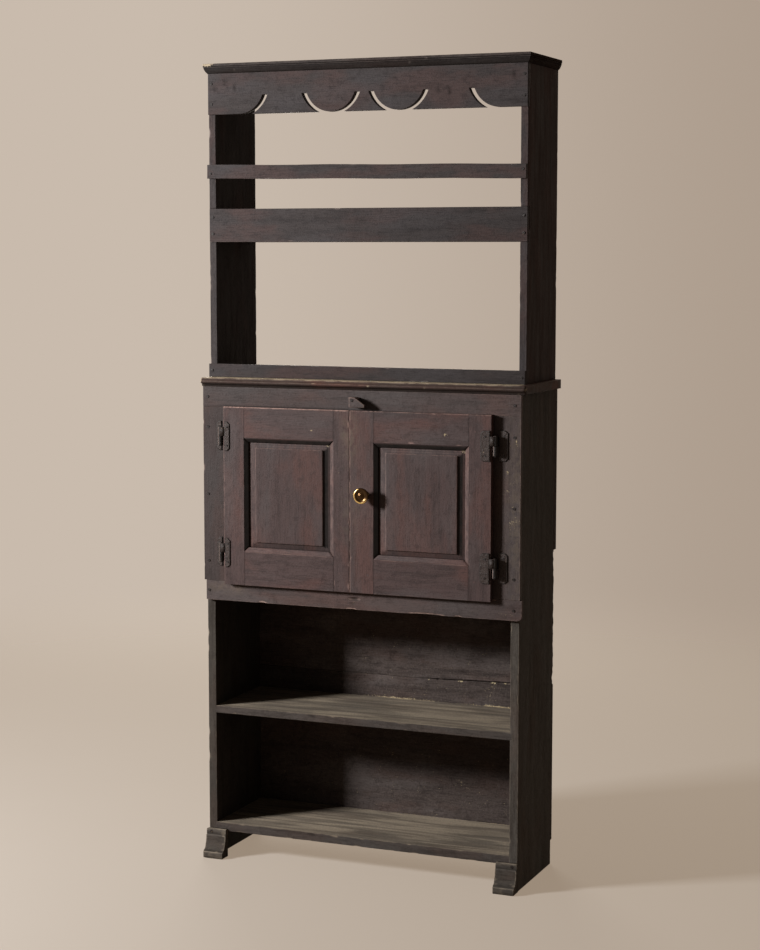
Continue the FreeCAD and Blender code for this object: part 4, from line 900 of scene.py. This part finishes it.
# ---------------------------------------------------------------- turned and wrought pieces
def lathe(profile, centre, segments):
    """Points and faces of a profile of (radius, y) turned about an axis along Y through the centre."""
    angles = [2 * math.pi * s / segments for s in range(segments)]
    points = [(centre[0] + r * math.cos(a), y, centre[2] + r * math.sin(a))
              for r, y in profile for a in angles]
    return np.array(points), capped_tube(len(profile), segments)


def knob():
    """A cast knob: neck, round edge, and a dished face with a dark hollow; and its flat rose."""
    low, high = box_of("brass_knob")
    centre = (low + high) / 2
    r = (high[0] - low[0]) / 2
    front, back = low[1], high[1]
    profile = [(out * MM, back - up * MM) for out, up in (
        (0.3, 0), (8, 0), (8, 2), (6, 4.2), (5.6, 9), (7, 11.5), (11, 13), (15.5, 14.6), (18.4, 17))]
    profile += arc(0.86 * r, front + 0.2 * (back - front) - 0.6 * MM, 0.14 * r, 60, -95, 12)
    profile += [(r * share, front + up * MM) for share, up in (
        (0.7, 2.6), (0.62, 3.6), (0.5, 4.2), (0.36, 3.6), (0.26, 2.2), (0.14, 1.4))]
    points, faces = lathe(profile + [(0.3 * MM, front + 1.2 * MM)], centre, 64)
    x, z = points[:, 0] - centre[0], points[:, 2] - centre[2]
    # The rim is bright towards the lower left only: worn brass and a painted reflection of the lamp and the
    # floor.
    edge = np.clip((np.hypot(x, z) / r - 0.74) / 0.14, 0, 1) * np.clip(0.55 - 0.5 * (x + z) / r, 0, 1)
    new_piece("brass_knob_worn", points, faces, "brass_knob", BRASS, edge=edge)
    low, high = box_of("knob_rose")
    profile = [(3.4 * MM, high[1]), (11 * MM, high[1])]
    profile += [(out * MM, low[1] + up * MM)
                for out, up in ((11, 0.7), (10.4, 0.1), (8.6, 0.3), (8, 0), (3.4, 0))]
    points, faces = lathe(profile, (low + high) / 2, 48)
    new_piece("knob_rose_worn", points, faces, "knob_rose", BRASS, edge=np.full(len(points), 0.35))


LEAF_THICK = 2 * MM
LEAF_ARRIS = 0.7 * MM
KNUCKLE_RADIUS = 5.5 * MM
KNUCKLE_START, KNUCKLE_END = 0.15 * MM, 23.55 * MM      # from the hinge's middle


def hinge_leaf(side, level, kind):
    """A wrought leaf with clipped, uneven corners and its knuckle, rolled round the pin."""
    hinge = f"{side}_{level}_hinge"
    node = f"{hinge}_{kind}_leaf"
    low, high = box_of(node)
    sign = 1 if side == "right" else -1
    pin = box_of(f"{hinge}_pin")
    axis = (pin[0] + pin[1]) / 2
    if kind == "door":
        toward, near, front = -sign, axis[0] - sign * 12.5 * MM, low[1]
        back = front + LEAF_THICK
        barrel = axis[2] + KNUCKLE_START, axis[2] + KNUCKLE_END
        corners = [(near, front), (axis[0], front), (axis[0], back), (near, back)]
    else:
        toward, near, front = sign, axis[0] + sign * 3.5 * MM, high[1] - LEAF_THICK
        back = front + LEAF_THICK
        barrel = axis[2] - KNUCKLE_END, axis[2] - KNUCKLE_START
        outside = axis[0] + sign * KNUCKLE_RADIUS
        within = outside - sign * LEAF_THICK
        corners = [(outside, axis[1]), (outside, back), (within, back), (within, axis[1])]
    far = low[0] if toward < 0 else high[0]
    z0, z1 = low[2], high[2]
    corner = min(7 * MM, abs(far - near) * 0.55)
    outline = dense([(near, z0), (far - toward * corner, z0), (far, z0 + corner * 0.9),
                     (far, z1 - corner * 0.9), (far - toward * corner, z1), (near, z1)], 3 * MM)
    bite = 0.7 * MM * smooth_noise(np.c_[outline, np.zeros(len(outline))], 7 * MM, rng.uniform(0, 50))
    middle = np.array([(near + far) / 2, (z0 + z1) / 2])
    outline = outline + unit(middle - outline, 1e-9) * np.maximum(bite + 0.3 * MM, 0)[:, None]
    where, triangles, rim, gap = slab(outline, 3 * MM, LEAF_ARRIS, 1.5 * MM)
    points, faces = plate(where, triangles, rim, front + round_off(gap, LEAF_ARRIS), back)
    points = list(points)
    edge = [*(0.3 * fading(gap - 2 * MM, 1.2 * MM))] + [0.0] * len(where)
    # Darkened round the rim, painted shadow and grime; the hidden back is dark all over, painted shade.
    soot = [*fading(gap, 1.3 * MM)] + [1.0] * len(where)
    add_strap(points, faces, edge, soot, corners, axis, *barrel)
    new_piece(f"{node}_worn", points, faces, node, IRON, edge=edge, soot=soot)


def add_strap(points, faces, edge, soot, corners, axis, low_z, high_z):
    """The strip between leaf and barrel, and the barrel itself with softened ends."""
    faces += capped_tube(2, 4, len(points))
    points += [(x, y, z) for z in (low_z + 0.4 * MM, high_z - 0.4 * MM) for x, y in corners]
    edge += [0.1] * 8
    # The strap between leaf and barrel is half darkened: painted shade.
    soot += [0.5] * 8
    segments = 28
    levels = [(0.84, low_z), (0.96, low_z + 0.4 * MM), (1.0, low_z + 1.1 * MM)]
    levels += [(1.0, z) for z in np.linspace(low_z + 4 * MM, high_z - 4 * MM, 5)]
    levels += [(1.0, high_z - 1.1 * MM), (0.96, high_z - 0.4 * MM), (0.84, high_z)]
    faces += capped_tube(len(levels), segments, len(points))
    for share, z in levels:
        for s in range(segments):
            a = 2 * math.pi * s / segments
            reach = KNUCKLE_RADIUS * share
            points.append((axis[0] + reach * math.cos(a), axis[1] + reach * math.sin(a), z))
            # facing is how far the barrel turns towards the key lamp: the lit side gets a painted highlight,
            # the rest painted shade.
            facing = max(0.0, -math.cos(a) * 0.87 - math.sin(a) * 0.5)
            edge.append(1.2 * facing ** 14)
            soot.append(0.95 * (1 - facing ** 4))


def hinges():
    """The leaves of the four hinges."""
    for side in ("left", "right"):
        for level in ("upper", "lower"):
            for kind in ("door", "frame"):
                hinge_leaf(side, level, kind)


def turn_button():
    """A whittled wooden button: square end, long taper, undercut over the doors."""
    low, high = box_of("turn_button")
    outline = [(low[0], low[2]), (high[0] - 1 * MM, low[2]), (high[0], low[2] + 1.5 * MM),
               (high[0] - 0.5 * MM, low[2] + 6.5 * MM), (low[0] + 16 * MM, high[2] - 0.5 * MM),
               (low[0] + 13 * MM, high[2]), (low[0], high[2])]
    arris, undercut, stop = 1.2 * MM, low[1] + 7 * MM, low[0] + 20 * MM
    where, triangles, rim, gap = slab(outline, 3 * MM, arris, 1.5 * MM)
    back = np.where(where[:, 0] > stop, undercut, high[1])
    points, faces = plate(where, triangles, rim, low[1] + round_off(gap, arris), back)
    edge = 0.7 * fading(gap, 1.8 * MM)
    # Darker along the lower edge: painted shade under the button.
    new_piece("turn_button_worn", points, faces, "turn_button", FRONT, grain=grain_points(points, "x"),
              edge=np.concatenate([edge, edge * 0.4]), chip=np.full(len(points), 0.15),
              soot=0.6 * fading(points[:, 2] - low[2], 2 * MM))


# ---------------------------------------------------------------- the boards
def rack():
    """The plate rack's straight boards, its frieze and its cornice."""
    frieze_low, frieze_high = box_of("frieze")
    rail_low, rail_high = box_of("shelf_front_rail")

    def let_in(world):
        """The notches of a rack side behind the frieze and the broad rail."""
        for low_z, high_z, back_y in ((rail_low[2], rail_high[2], rail_high[1]),
                                      (frieze_low[2], frieze_high[2] + 0.1, frieze_high[1])):
            behind = (world[:, 2] > low_z) & (world[:, 2] < high_z) & (world[:, 1] < back_y)
            world[behind, 1] = back_y
        return world

    lip = 0.1 * MM
    side = {"shape": let_in, "dents": 24, "lines": {
        "z": [z + d for z in (rail_low[2], rail_high[2], frieze_low[2]) for d in (-lip, lip)],
        "y": [rail_high[1], frieze_high[1]]}}
    # Painted shade: the left side's inner face and both faces of the right side are made darker and browner.
    board("rack_left_side", "z", RACK, edges={"-x-y": 0.2}, shaded={"+x": 0.05},
          ragged={"+y": 0.8 * MM}, **side)
    board("rack_right_side", "z", RACK, edges={"+x-y": 0.35}, shaded={"-x": 0.7, "+x": 0.85}, **side)
    board("rack_top_board", "x", SIDE, step=14 * MM)
    board("shelf_front_rail", "x", RACK, dents=16, edges={"-y-z": 0.4, "-y+z": 0.25},
          soot_spots=[((0.25, rail_low[1], rail_low[2]), (0.3, 0.02, 0.2), 0.2)])
    board("plate_shelf", "x", SHELF, step=10 * MM)
    foot = box_of("rack_base_rail")[0]
    board("rack_base_rail", "x", RACK, dents=14, edges={"-y+z": 0.4}, wear=0.2, dirt_and_shade=0.2,
          soot_spots=[((0, foot[1], foot[2]), (0.6, 0.02, 3 * MM), 0.5)])
    frieze()
    cornice()


def guard_rail():
    """The slim rail across the plates stands a little out of level, as the frame has it."""
    low, high = box_of("guard_rail")
    tilt = math.radians(0.6)
    tall = high[2] - low[2] - (high[0] - low[0]) * math.tan(tilt)
    middle = (low + high) / 2
    turn = Matrix.Rotation(tilt, 3, "Y")

    def lean(world):
        """Bend the rail a little and turn it within its box."""
        flat = world - middle
        flat[:, 2] *= tall / (high[2] - low[2])
        flat[:, 2] -= np.sin(flat[:, 0] * 21) * 0.6 * MM
        flat[:, 0] *= 0.9996
        return np.array([turn @ Vector(p) for p in flat]) + middle

    board("guard_rail", "x", RACK, dents=14, shape=lean, edges={"-y-z": 0.35, "-y+z": 0.35}, warp=0.1 * MM)


def case():
    """The case's sides, floor, shelves and back."""
    # Painted shade: both faces of each side of the case are made darker and browner.
    board("case_left_side", "z", EDGE, dents=26, edges={"-x-y": 0.3, "+x-y": 0.2}, chips=0.24, dirt_and_shade=0.36,
          shaded={"-x": 0.9, "+x": 0.9})
    board("case_right_side", "z", EDGE, dents=30, edges={"-x-y": 0.5, "+x-y": 0.6}, chips=0.24,
          shaded={"-x": 0.9, "+x": 1.0})
    board("cupboard_floor", "x", BACK, step=16 * MM)
    for node, loose in (("open_shelf", 1.0), ("bottom_board", 0.8)):
        low, high = box_of(node)
        knot = (low[0] + 0.27, low[1], high[2] - 5 * MM)
        crumbs = [((0.29, high[1], high[2]), (0.2, 5 * MM, 6 * MM), 1.15 * loose),
                  ((0.0, high[1], high[2]), (0.2, 4 * MM, 6 * MM), 1.05 * loose), (knot, mm(14, 12, 6), 0.4)]
        board(node, "x", SHELF, dents=24, edges={"-y+z": 0.45}, step=9 * MM, chip_spots=crumbs,
              soot_spots=[(knot, mm(6, 12, 5), 0.9)])
    back_boards()


def back_boards():
    """Three boards; the two lower ones overlap in a rebate, and their joint gapes at its right end."""
    low_board, middle_board = box_of("back_board_lower"), box_of("back_board_middle")
    face, joint_z = low_board[0][1], low_board[1][2]
    rebate = (low_board[0][1] + low_board[1][1]) / 2
    lip = 0.05 * MM
    gap = middle_board[0][2] - joint_z

    def opening(x):
        """How far the joint gapes at x."""
        return 3.6 * MM * np.clip((x - 0.055) / 0.06, 0.02, 1)

    def climb(world, edge_z):
        """How far the joint's front edges, and less of the wood by them, rise towards the right."""
        near = np.clip(1 - np.abs(world[:, 2] - edge_z) / (45 * MM), 0, 1)
        return 8 * MM * np.clip((world[:, 0] - 0.04) / 0.28, 0, 1) * near

    def torn(world, seed):
        """A ragged line along x, 0 to about 1."""
        return np.abs(smooth_noise(world * (1, 0, 0), 14 * MM, seed, 3))

    def lower(world):
        """The top of the lower board: its tongue behind, its ragged edge in front."""
        rise = climb(world, joint_z)
        top = world[:, 2] > joint_z - 5 * MM
        front = gap - 0.1 * MM - opening(world[:, 0]) * (0.45 + 1.2 * torn(world, 3.0))
        share = np.clip((world[:, 2] - joint_z + 5 * MM) / (5 * MM), 0, 1)
        rise += np.where(top, np.where(world[:, 1] > rebate, gap + 4 * MM, front) * share, 0)
        world[:, 2] += rise
        return world

    def middle(world):
        """The foot of the middle board over the tongue, and its top up to the board above."""
        edge_z = middle_board[0][2]
        rise = climb(world, edge_z)
        foot = world[:, 2] < edge_z + 5 * MM
        share = np.clip((edge_z + 5 * MM - world[:, 2]) / (5 * MM), 0, 1)
        ragged = opening(world[:, 0]) * 0.5 * torn(world, 8.0)
        rise += np.where(foot, np.where(world[:, 1] > rebate, 4.2 * MM, ragged) * share, 0)
        head = world[:, 2] > middle_board[1][2] - 1 * MM
        world[:, 2] += rise + np.where(head, gap - 0.15 * MM, 0)
        return world

    shelf_top = box_of("open_shelf")[1][2]
    lines = {"y": [rebate - lip, rebate + lip], "x": np.arange(0.05, 0.385, 3 * MM),
             "z": [*(shelf_top + np.arange(0, 14, 3) * MM), joint_z - 8 * MM]}
    chips = [((x, face, joint_z + 25 * MM * (x - 0.1)), mm(12, 4, 4), 0.95)
             for x in (0.08, 0.17, 0.26, 0.29, 0.345, 0.37)]
    chips += [((x, face, shelf_top + 1 * MM), mm(200, 5, 3), strength)
              for x, strength in ((0.3, 1.1), (0, 0.95))]
    chips += [((-0.15, face, 0.365), mm(5, 4, 9), 1.2)]
    # Dark along the gaping joint: painted shadow in the gap behind the lower board's edge and on the middle
    # board's foot.
    board("back_board_lower", "x", BACK, lines=lines, shape=lower, step=9 * MM, chips=0.34, dirt_and_shade=0.22,
          chip_spots=chips, soot_spots=[((0.24, rebate + 3 * MM, joint_z + 4 * MM), mm(200, 3.6, 12), 1.3)])
    board("back_board_middle", "x", BACK, lines=lines, shape=middle, step=9 * MM, chips=0.36,
          ragged={"+x": 3 * MM}, soot_spots=[((0.26, face, joint_z + 5 * MM), mm(160, 20, 4), 0.7)])
    board("back_board_upper", "x", BACK, step=14 * MM)


def face_frame():
    """Two rails and two stiles round the doors."""
    (left, face, foot), (right, _, head) = box_of("frame_bottom_rail")
    stile_right, _, stile_top = box_of("frame_right_stile")[1]
    door_top = box_of("left_door_top_rail")[1][2]
    board("frame_top_rail", "x", FRONT, edges={"-y-z": 0.2, "+x-y": 0.4}, radius=0.9 * MM,
          lines={"z": door_top + np.array((0, 1.5, 3, 6)) * MM},
          soot_spots=[((-0.2, face, door_top), (0.3, 0.02, 3.4 * MM), 0.9),
                      ((-0.35, face, 1.18), (0.35, 0.02, 0.2), 0.2)],
          chip_spots=[((stile_right - 12 * MM, face, stile_top), mm(9, 9, 22), 0.4)])
    corner = 12 * MM

    def worn_corner(world):
        """The lower right corner worn round."""
        dx, dz = world[:, 0] - (right - corner), (foot + corner) - world[:, 2]
        near = (dx > 0) & (dz > 0)
        pull = np.maximum(dx, dz)[near] / np.hypot(dx, dz)[near]
        world[near, 0] = right - corner + dx[near] * pull
        world[near, 2] = foot + corner - dz[near] * pull
        return world

    gouge = np.array((-0.009, face, head - 23 * MM))
    scratch = gouge - (2 * MM, 0, 12 * MM)
    fan = np.array((1, 0.75, 0.55, 0.4))
    board("frame_bottom_rail", "x", FRONT, edges={"-y-z": 0.4, "+x-y": 0.5}, dents=26, dent_depth=2 * MM,
          chips=0.26, shape=worn_corner,
          lines={"x": [*np.arange(-0.036, 0.02, 3 * MM), *(right - corner * fan)],
                 "z": [*np.arange(gouge[2] - 16 * MM, gouge[2] + 7 * MM, 2 * MM), *(foot + corner * fan)]},
          smears=[((left + 65 * MM, face, head - 15 * MM), mm(60, 20, 18), 0.6)],
          bites=[(gouge, mm(19, 10, 4), 5 * MM), (scratch, mm(8, 8, 2.5), 1.2 * MM),
                 ((0.18, face, foot), mm(60, 20, 6), 2.5 * MM)],
          soot_spots=[(gouge, mm(17, 12, 4.5), 1.2), (scratch, mm(8, 12, 2.5), 0.9)],
          chip_spots=[((gouge + scratch) / 2, mm(24, 12, 6), 0.5), ((left, face, head), mm(16, 12, 14), 0.6),
                      ((right - 40 * MM, face, foot + 14 * MM), mm(40, 12, 10), 0.62)])
    board("frame_left_stile", "z", FRONT, edges={"-x-y": 0.25}, radius=0.9 * MM, dirt_and_shade=0.4)
    flecks = [((stile_right - x * MM, face, z), mm(5, 20, 7), 1.0)
              for x, z in ((34, 1.02), (30, 0.975), (18, 0.935), (22, 0.91), (28, 0.9), (12, 1.09))]
    board("frame_right_stile", "z", FRONT, edges={"+x-y": 0.5}, chips=0.3, radius=0.9 * MM,
          chip_spots=[((stile_right - 22 * MM, face, 0.9), mm(22, 20, 60), 0.5)] + flecks,
          smears=[((stile_right, face, 0.92), mm(40, 20, 250), 0.6)])


def doors():
    """The frames of the two doors with their bevels, and the panels."""
    for side in ("left", "right"):
        left = side == "left"
        outer, inner = ("-x", "+x") if left else ("+x", "-x")
        x0, x1, _, z1 = door_opening(side)
        meeting = box_of(f"{side}_door_meeting_stile")
        face = meeting[0][1]
        # The top arrises are lighter, the left door's most: wear and painted highlight.
        top = 1.1 if left else 0.55
        common = {"radius": 0.75 * MM, "wear": 0.12, "dirt_and_shade": 0.1, "dent_depth": 0.8 * MM}
        rail = {"dents": 5, "soot_edges": {"-x-y": 0.4, "+x-y": 0.4}, **common}
        tenons = {"-x": TENON_REACH, "+x": TENON_REACH}
        # The arrises that face left, towards the lamp, are the lighter ones: wear and painted highlight.
        board(f"{side}_door_hinge_stile", "z", DOOR, trim={inner: MOULD_WIDTH}, dents=14,
              edges={f"{outer}-y": 0.5 if left else 0.3, "-y+z": top, "-y-z": 0.2}, **common)
        board(f"{side}_door_meeting_stile", "z", DOOR, trim={outer: MOULD_WIDTH}, dents=14, chips=0.2,
              edges={f"{inner}-y": 0.25 if left else 0.6, "-y+z": top, "-y-z": 0.2},
              smears=[((meeting[1 if left else 0][0], face, z), mm(26, 20, tall), strong)
                      for z, tall, strong in ((1.09, 70, 0.75), (0.9, 90, 0.35))], **common)
        board(f"{side}_door_top_rail", "x", DOOR, edges={"-y+z": top}, trim={**tenons, "-z": MOULD_WIDTH},
              chip_spots=[((x0 + 0.76 * (x1 - x0), face, z1 + 25 * MM), mm(8, 9, 7), 0.95),
                          ((x0 + 0.3 * (x1 - x0), face, z1 + 14 * MM), mm(7, 9, 6), 0.8)], **rail)
        board(f"{side}_door_bottom_rail", "x", DOOR, edges={"-y-z": 0.3, "-y+z": 0.45},
              trim={**tenons, "+z": MOULD_WIDTH}, **rail)
        bevel_ring(side)
        raised_panel(side)


# ---------------------------------------------------------------- stage, light and camera
def seen_directly(g):
    """1 for the rays that see a thing or its reflection, 0 for those that carry its light."""
    path = g.add("ShaderNodeLightPath")
    seen = g.math("MAXIMUM", path.outputs["Is Camera Ray"], path.outputs["Is Glossy Ray"])
    return g.math("MAXIMUM", seen, path.outputs["Is Transmission Ray"])


def floor_finish():
    """Pale paper.  What is seen of it is partly its own even glow; it throws less light back.

    With the distance from the middle it thins out into the background."""
    g = Finish("pale_floor")
    tone, lit_by, glow = (0.235, 0.225, 0.213), srgb(112, 92, 74), (0.32, 0.25, 0.187, 1)
    fade_start, fade_end = 2.0, 4.8
    tone = g.mix((*tone, 1), (*(c * 0.97 for c in tone), 1), g.noise(g.place(), scale=3, detail=3))
    seen = seen_directly(g)
    away = g.plug(g.add("ShaderNodeVectorMath", operation="LENGTH"), (0, g.place())).outputs["Value"]
    g.plug(g.shader, ("Emission Color", glow), ("Emission Strength", seen),
           ("Alpha", g.step(away, fade_start, fade_end, 1, 0)))
    return g.done(g.mix(lit_by, tone, seen), 0.9, specular=0.1)


def stage():
    """A round pale floor."""
    radius, rings, sides = 7.5, 10, 96
    points = [(0, 0, 0)]
    for ring in range(1, rings + 1):
        points += [(x, y, 0) for x, y in arc(0, 0, radius * ring / rings, 0, 360 - 360 / sides, sides)]
    faces = [(0, 1 + s, 1 + (s + 1) % sides) for s in range(sides)]
    faces += [quad[::-1] for quad in tube(rings, sides, 1)]
    mesh = bpy.data.meshes.new("floor")
    mesh.from_pydata(points, [], faces)
    floor = bpy.data.objects.new("floor", mesh)
    bpy.context.scene.collection.objects.link(floor)
    mesh.materials.append(floor_finish())


TARGET = Vector((0, 0, 1.0))     # the lamps point at the middle of the cupboard


def area_light(name, azimuth, elevation, distance, size, power, color=(1, 1, 1)):
    """A soft square light; azimuth turns from the front towards the left, in degrees."""
    a, e = math.radians(azimuth), math.radians(elevation)
    way = Vector((-math.sin(a) * math.cos(e), -math.cos(a) * math.cos(e), math.sin(e)))
    lamp = bpy.data.lights.new(name, "AREA")
    lamp.shape = "RECTANGLE"
    lamp.size = lamp.size_y = size
    lamp.energy, lamp.color = power, color
    holder = bpy.data.objects.new(name, lamp)
    holder.location = TARGET + way * distance
    holder.rotation_euler = (-way).to_track_quat("-Z", "Y").to_euler()
    bpy.context.scene.collection.objects.link(holder)
    return holder


def room():
    """The lamps, an even light all round, and the plain wall colour behind, darker towards one side."""
    area_light("key", azimuth=51, elevation=14.8, distance=3.72, size=0.6, power=220)
    back = area_light("back", azimuth=150, elevation=12, distance=5.0, size=2.0, power=100,
                      color=(1.0, 0.94, 0.86))
    back.visible_camera = False
    world = bpy.data.worlds.new("room")
    world.use_nodes = True
    g = Graph(world.node_tree)
    even = g.plug(g.add("ShaderNodeBackground"), ("Color", (1.0, 0.88, 0.76, 1)), ("Strength", 0.048))
    darker = g.step(g.part(g.place("Generated"), 0), -0.5, -0.18)
    wall_color = g.mix(srgb(201, 187, 173), srgb(172, 156, 141), darker)
    wall = g.plug(g.add("ShaderNodeBackground"), ("Color", wall_color))
    both = g.plug(g.add("ShaderNodeMixShader"), (0, seen_directly(g)),
                  (1, even.outputs[0]), (2, wall.outputs[0]))
    g.plug(g.add("ShaderNodeOutputWorld"), (0, both.outputs[0]))
    bpy.context.scene.world = world


CAMERA_PLACE = Vector((1.9773, -4.7300, 1.5376))
CAMERA_AZIMUTH = 22.6113     # degrees that the view turns left of straight back
CAMERA_PITCH = 6.1464        # degrees below level
CAMERA_ROLL = -0.0264
FOCAL_PIXELS = 2071.25
FRAME_HEIGHT = 950


def camera():
    """The photo's own camera."""
    view = bpy.data.cameras.new("photo_view")
    view.lens = FOCAL_PIXELS * view.sensor_width / FRAME_HEIGHT      # the frame is taller than wide
    view.clip_start, view.clip_end = 0.05, 60
    holder = bpy.data.objects.new("photo_view", view)
    a, p = math.radians(CAMERA_AZIMUTH), math.radians(CAMERA_PITCH)
    forward = Vector((-math.sin(a) * math.cos(p), math.cos(a) * math.cos(p), -math.sin(p)))
    turn = forward.to_track_quat("-Z", "Y").to_matrix() @ Matrix.Rotation(math.radians(-CAMERA_ROLL), 3, "Z")
    holder.matrix_world = Matrix.Translation(CAMERA_PLACE) @ turn.to_4x4()
    bpy.context.scene.collection.objects.link(holder)
    bpy.context.scene.camera = holder


def cad_finishes():
    """Materials for the CAD nodes that stay: nails, pins, pegs, spindle and latch tongue."""
    for name, piece in frame["nodes"].items():
        if not piece.hide_render:
            piece.data.materials.clear()
            piece.data.materials.append(IRON if "_pin" in name else DOOR if name.endswith("_pegs") else NAILS)


rack()
guard_rail()
waist()
case()
face_frame()
feet()
doors()
hinges()
knob()
turn_button()
cad_finishes()
stage()
room()
camera()
bpy.context.scene.view_settings.view_transform = "Standard"
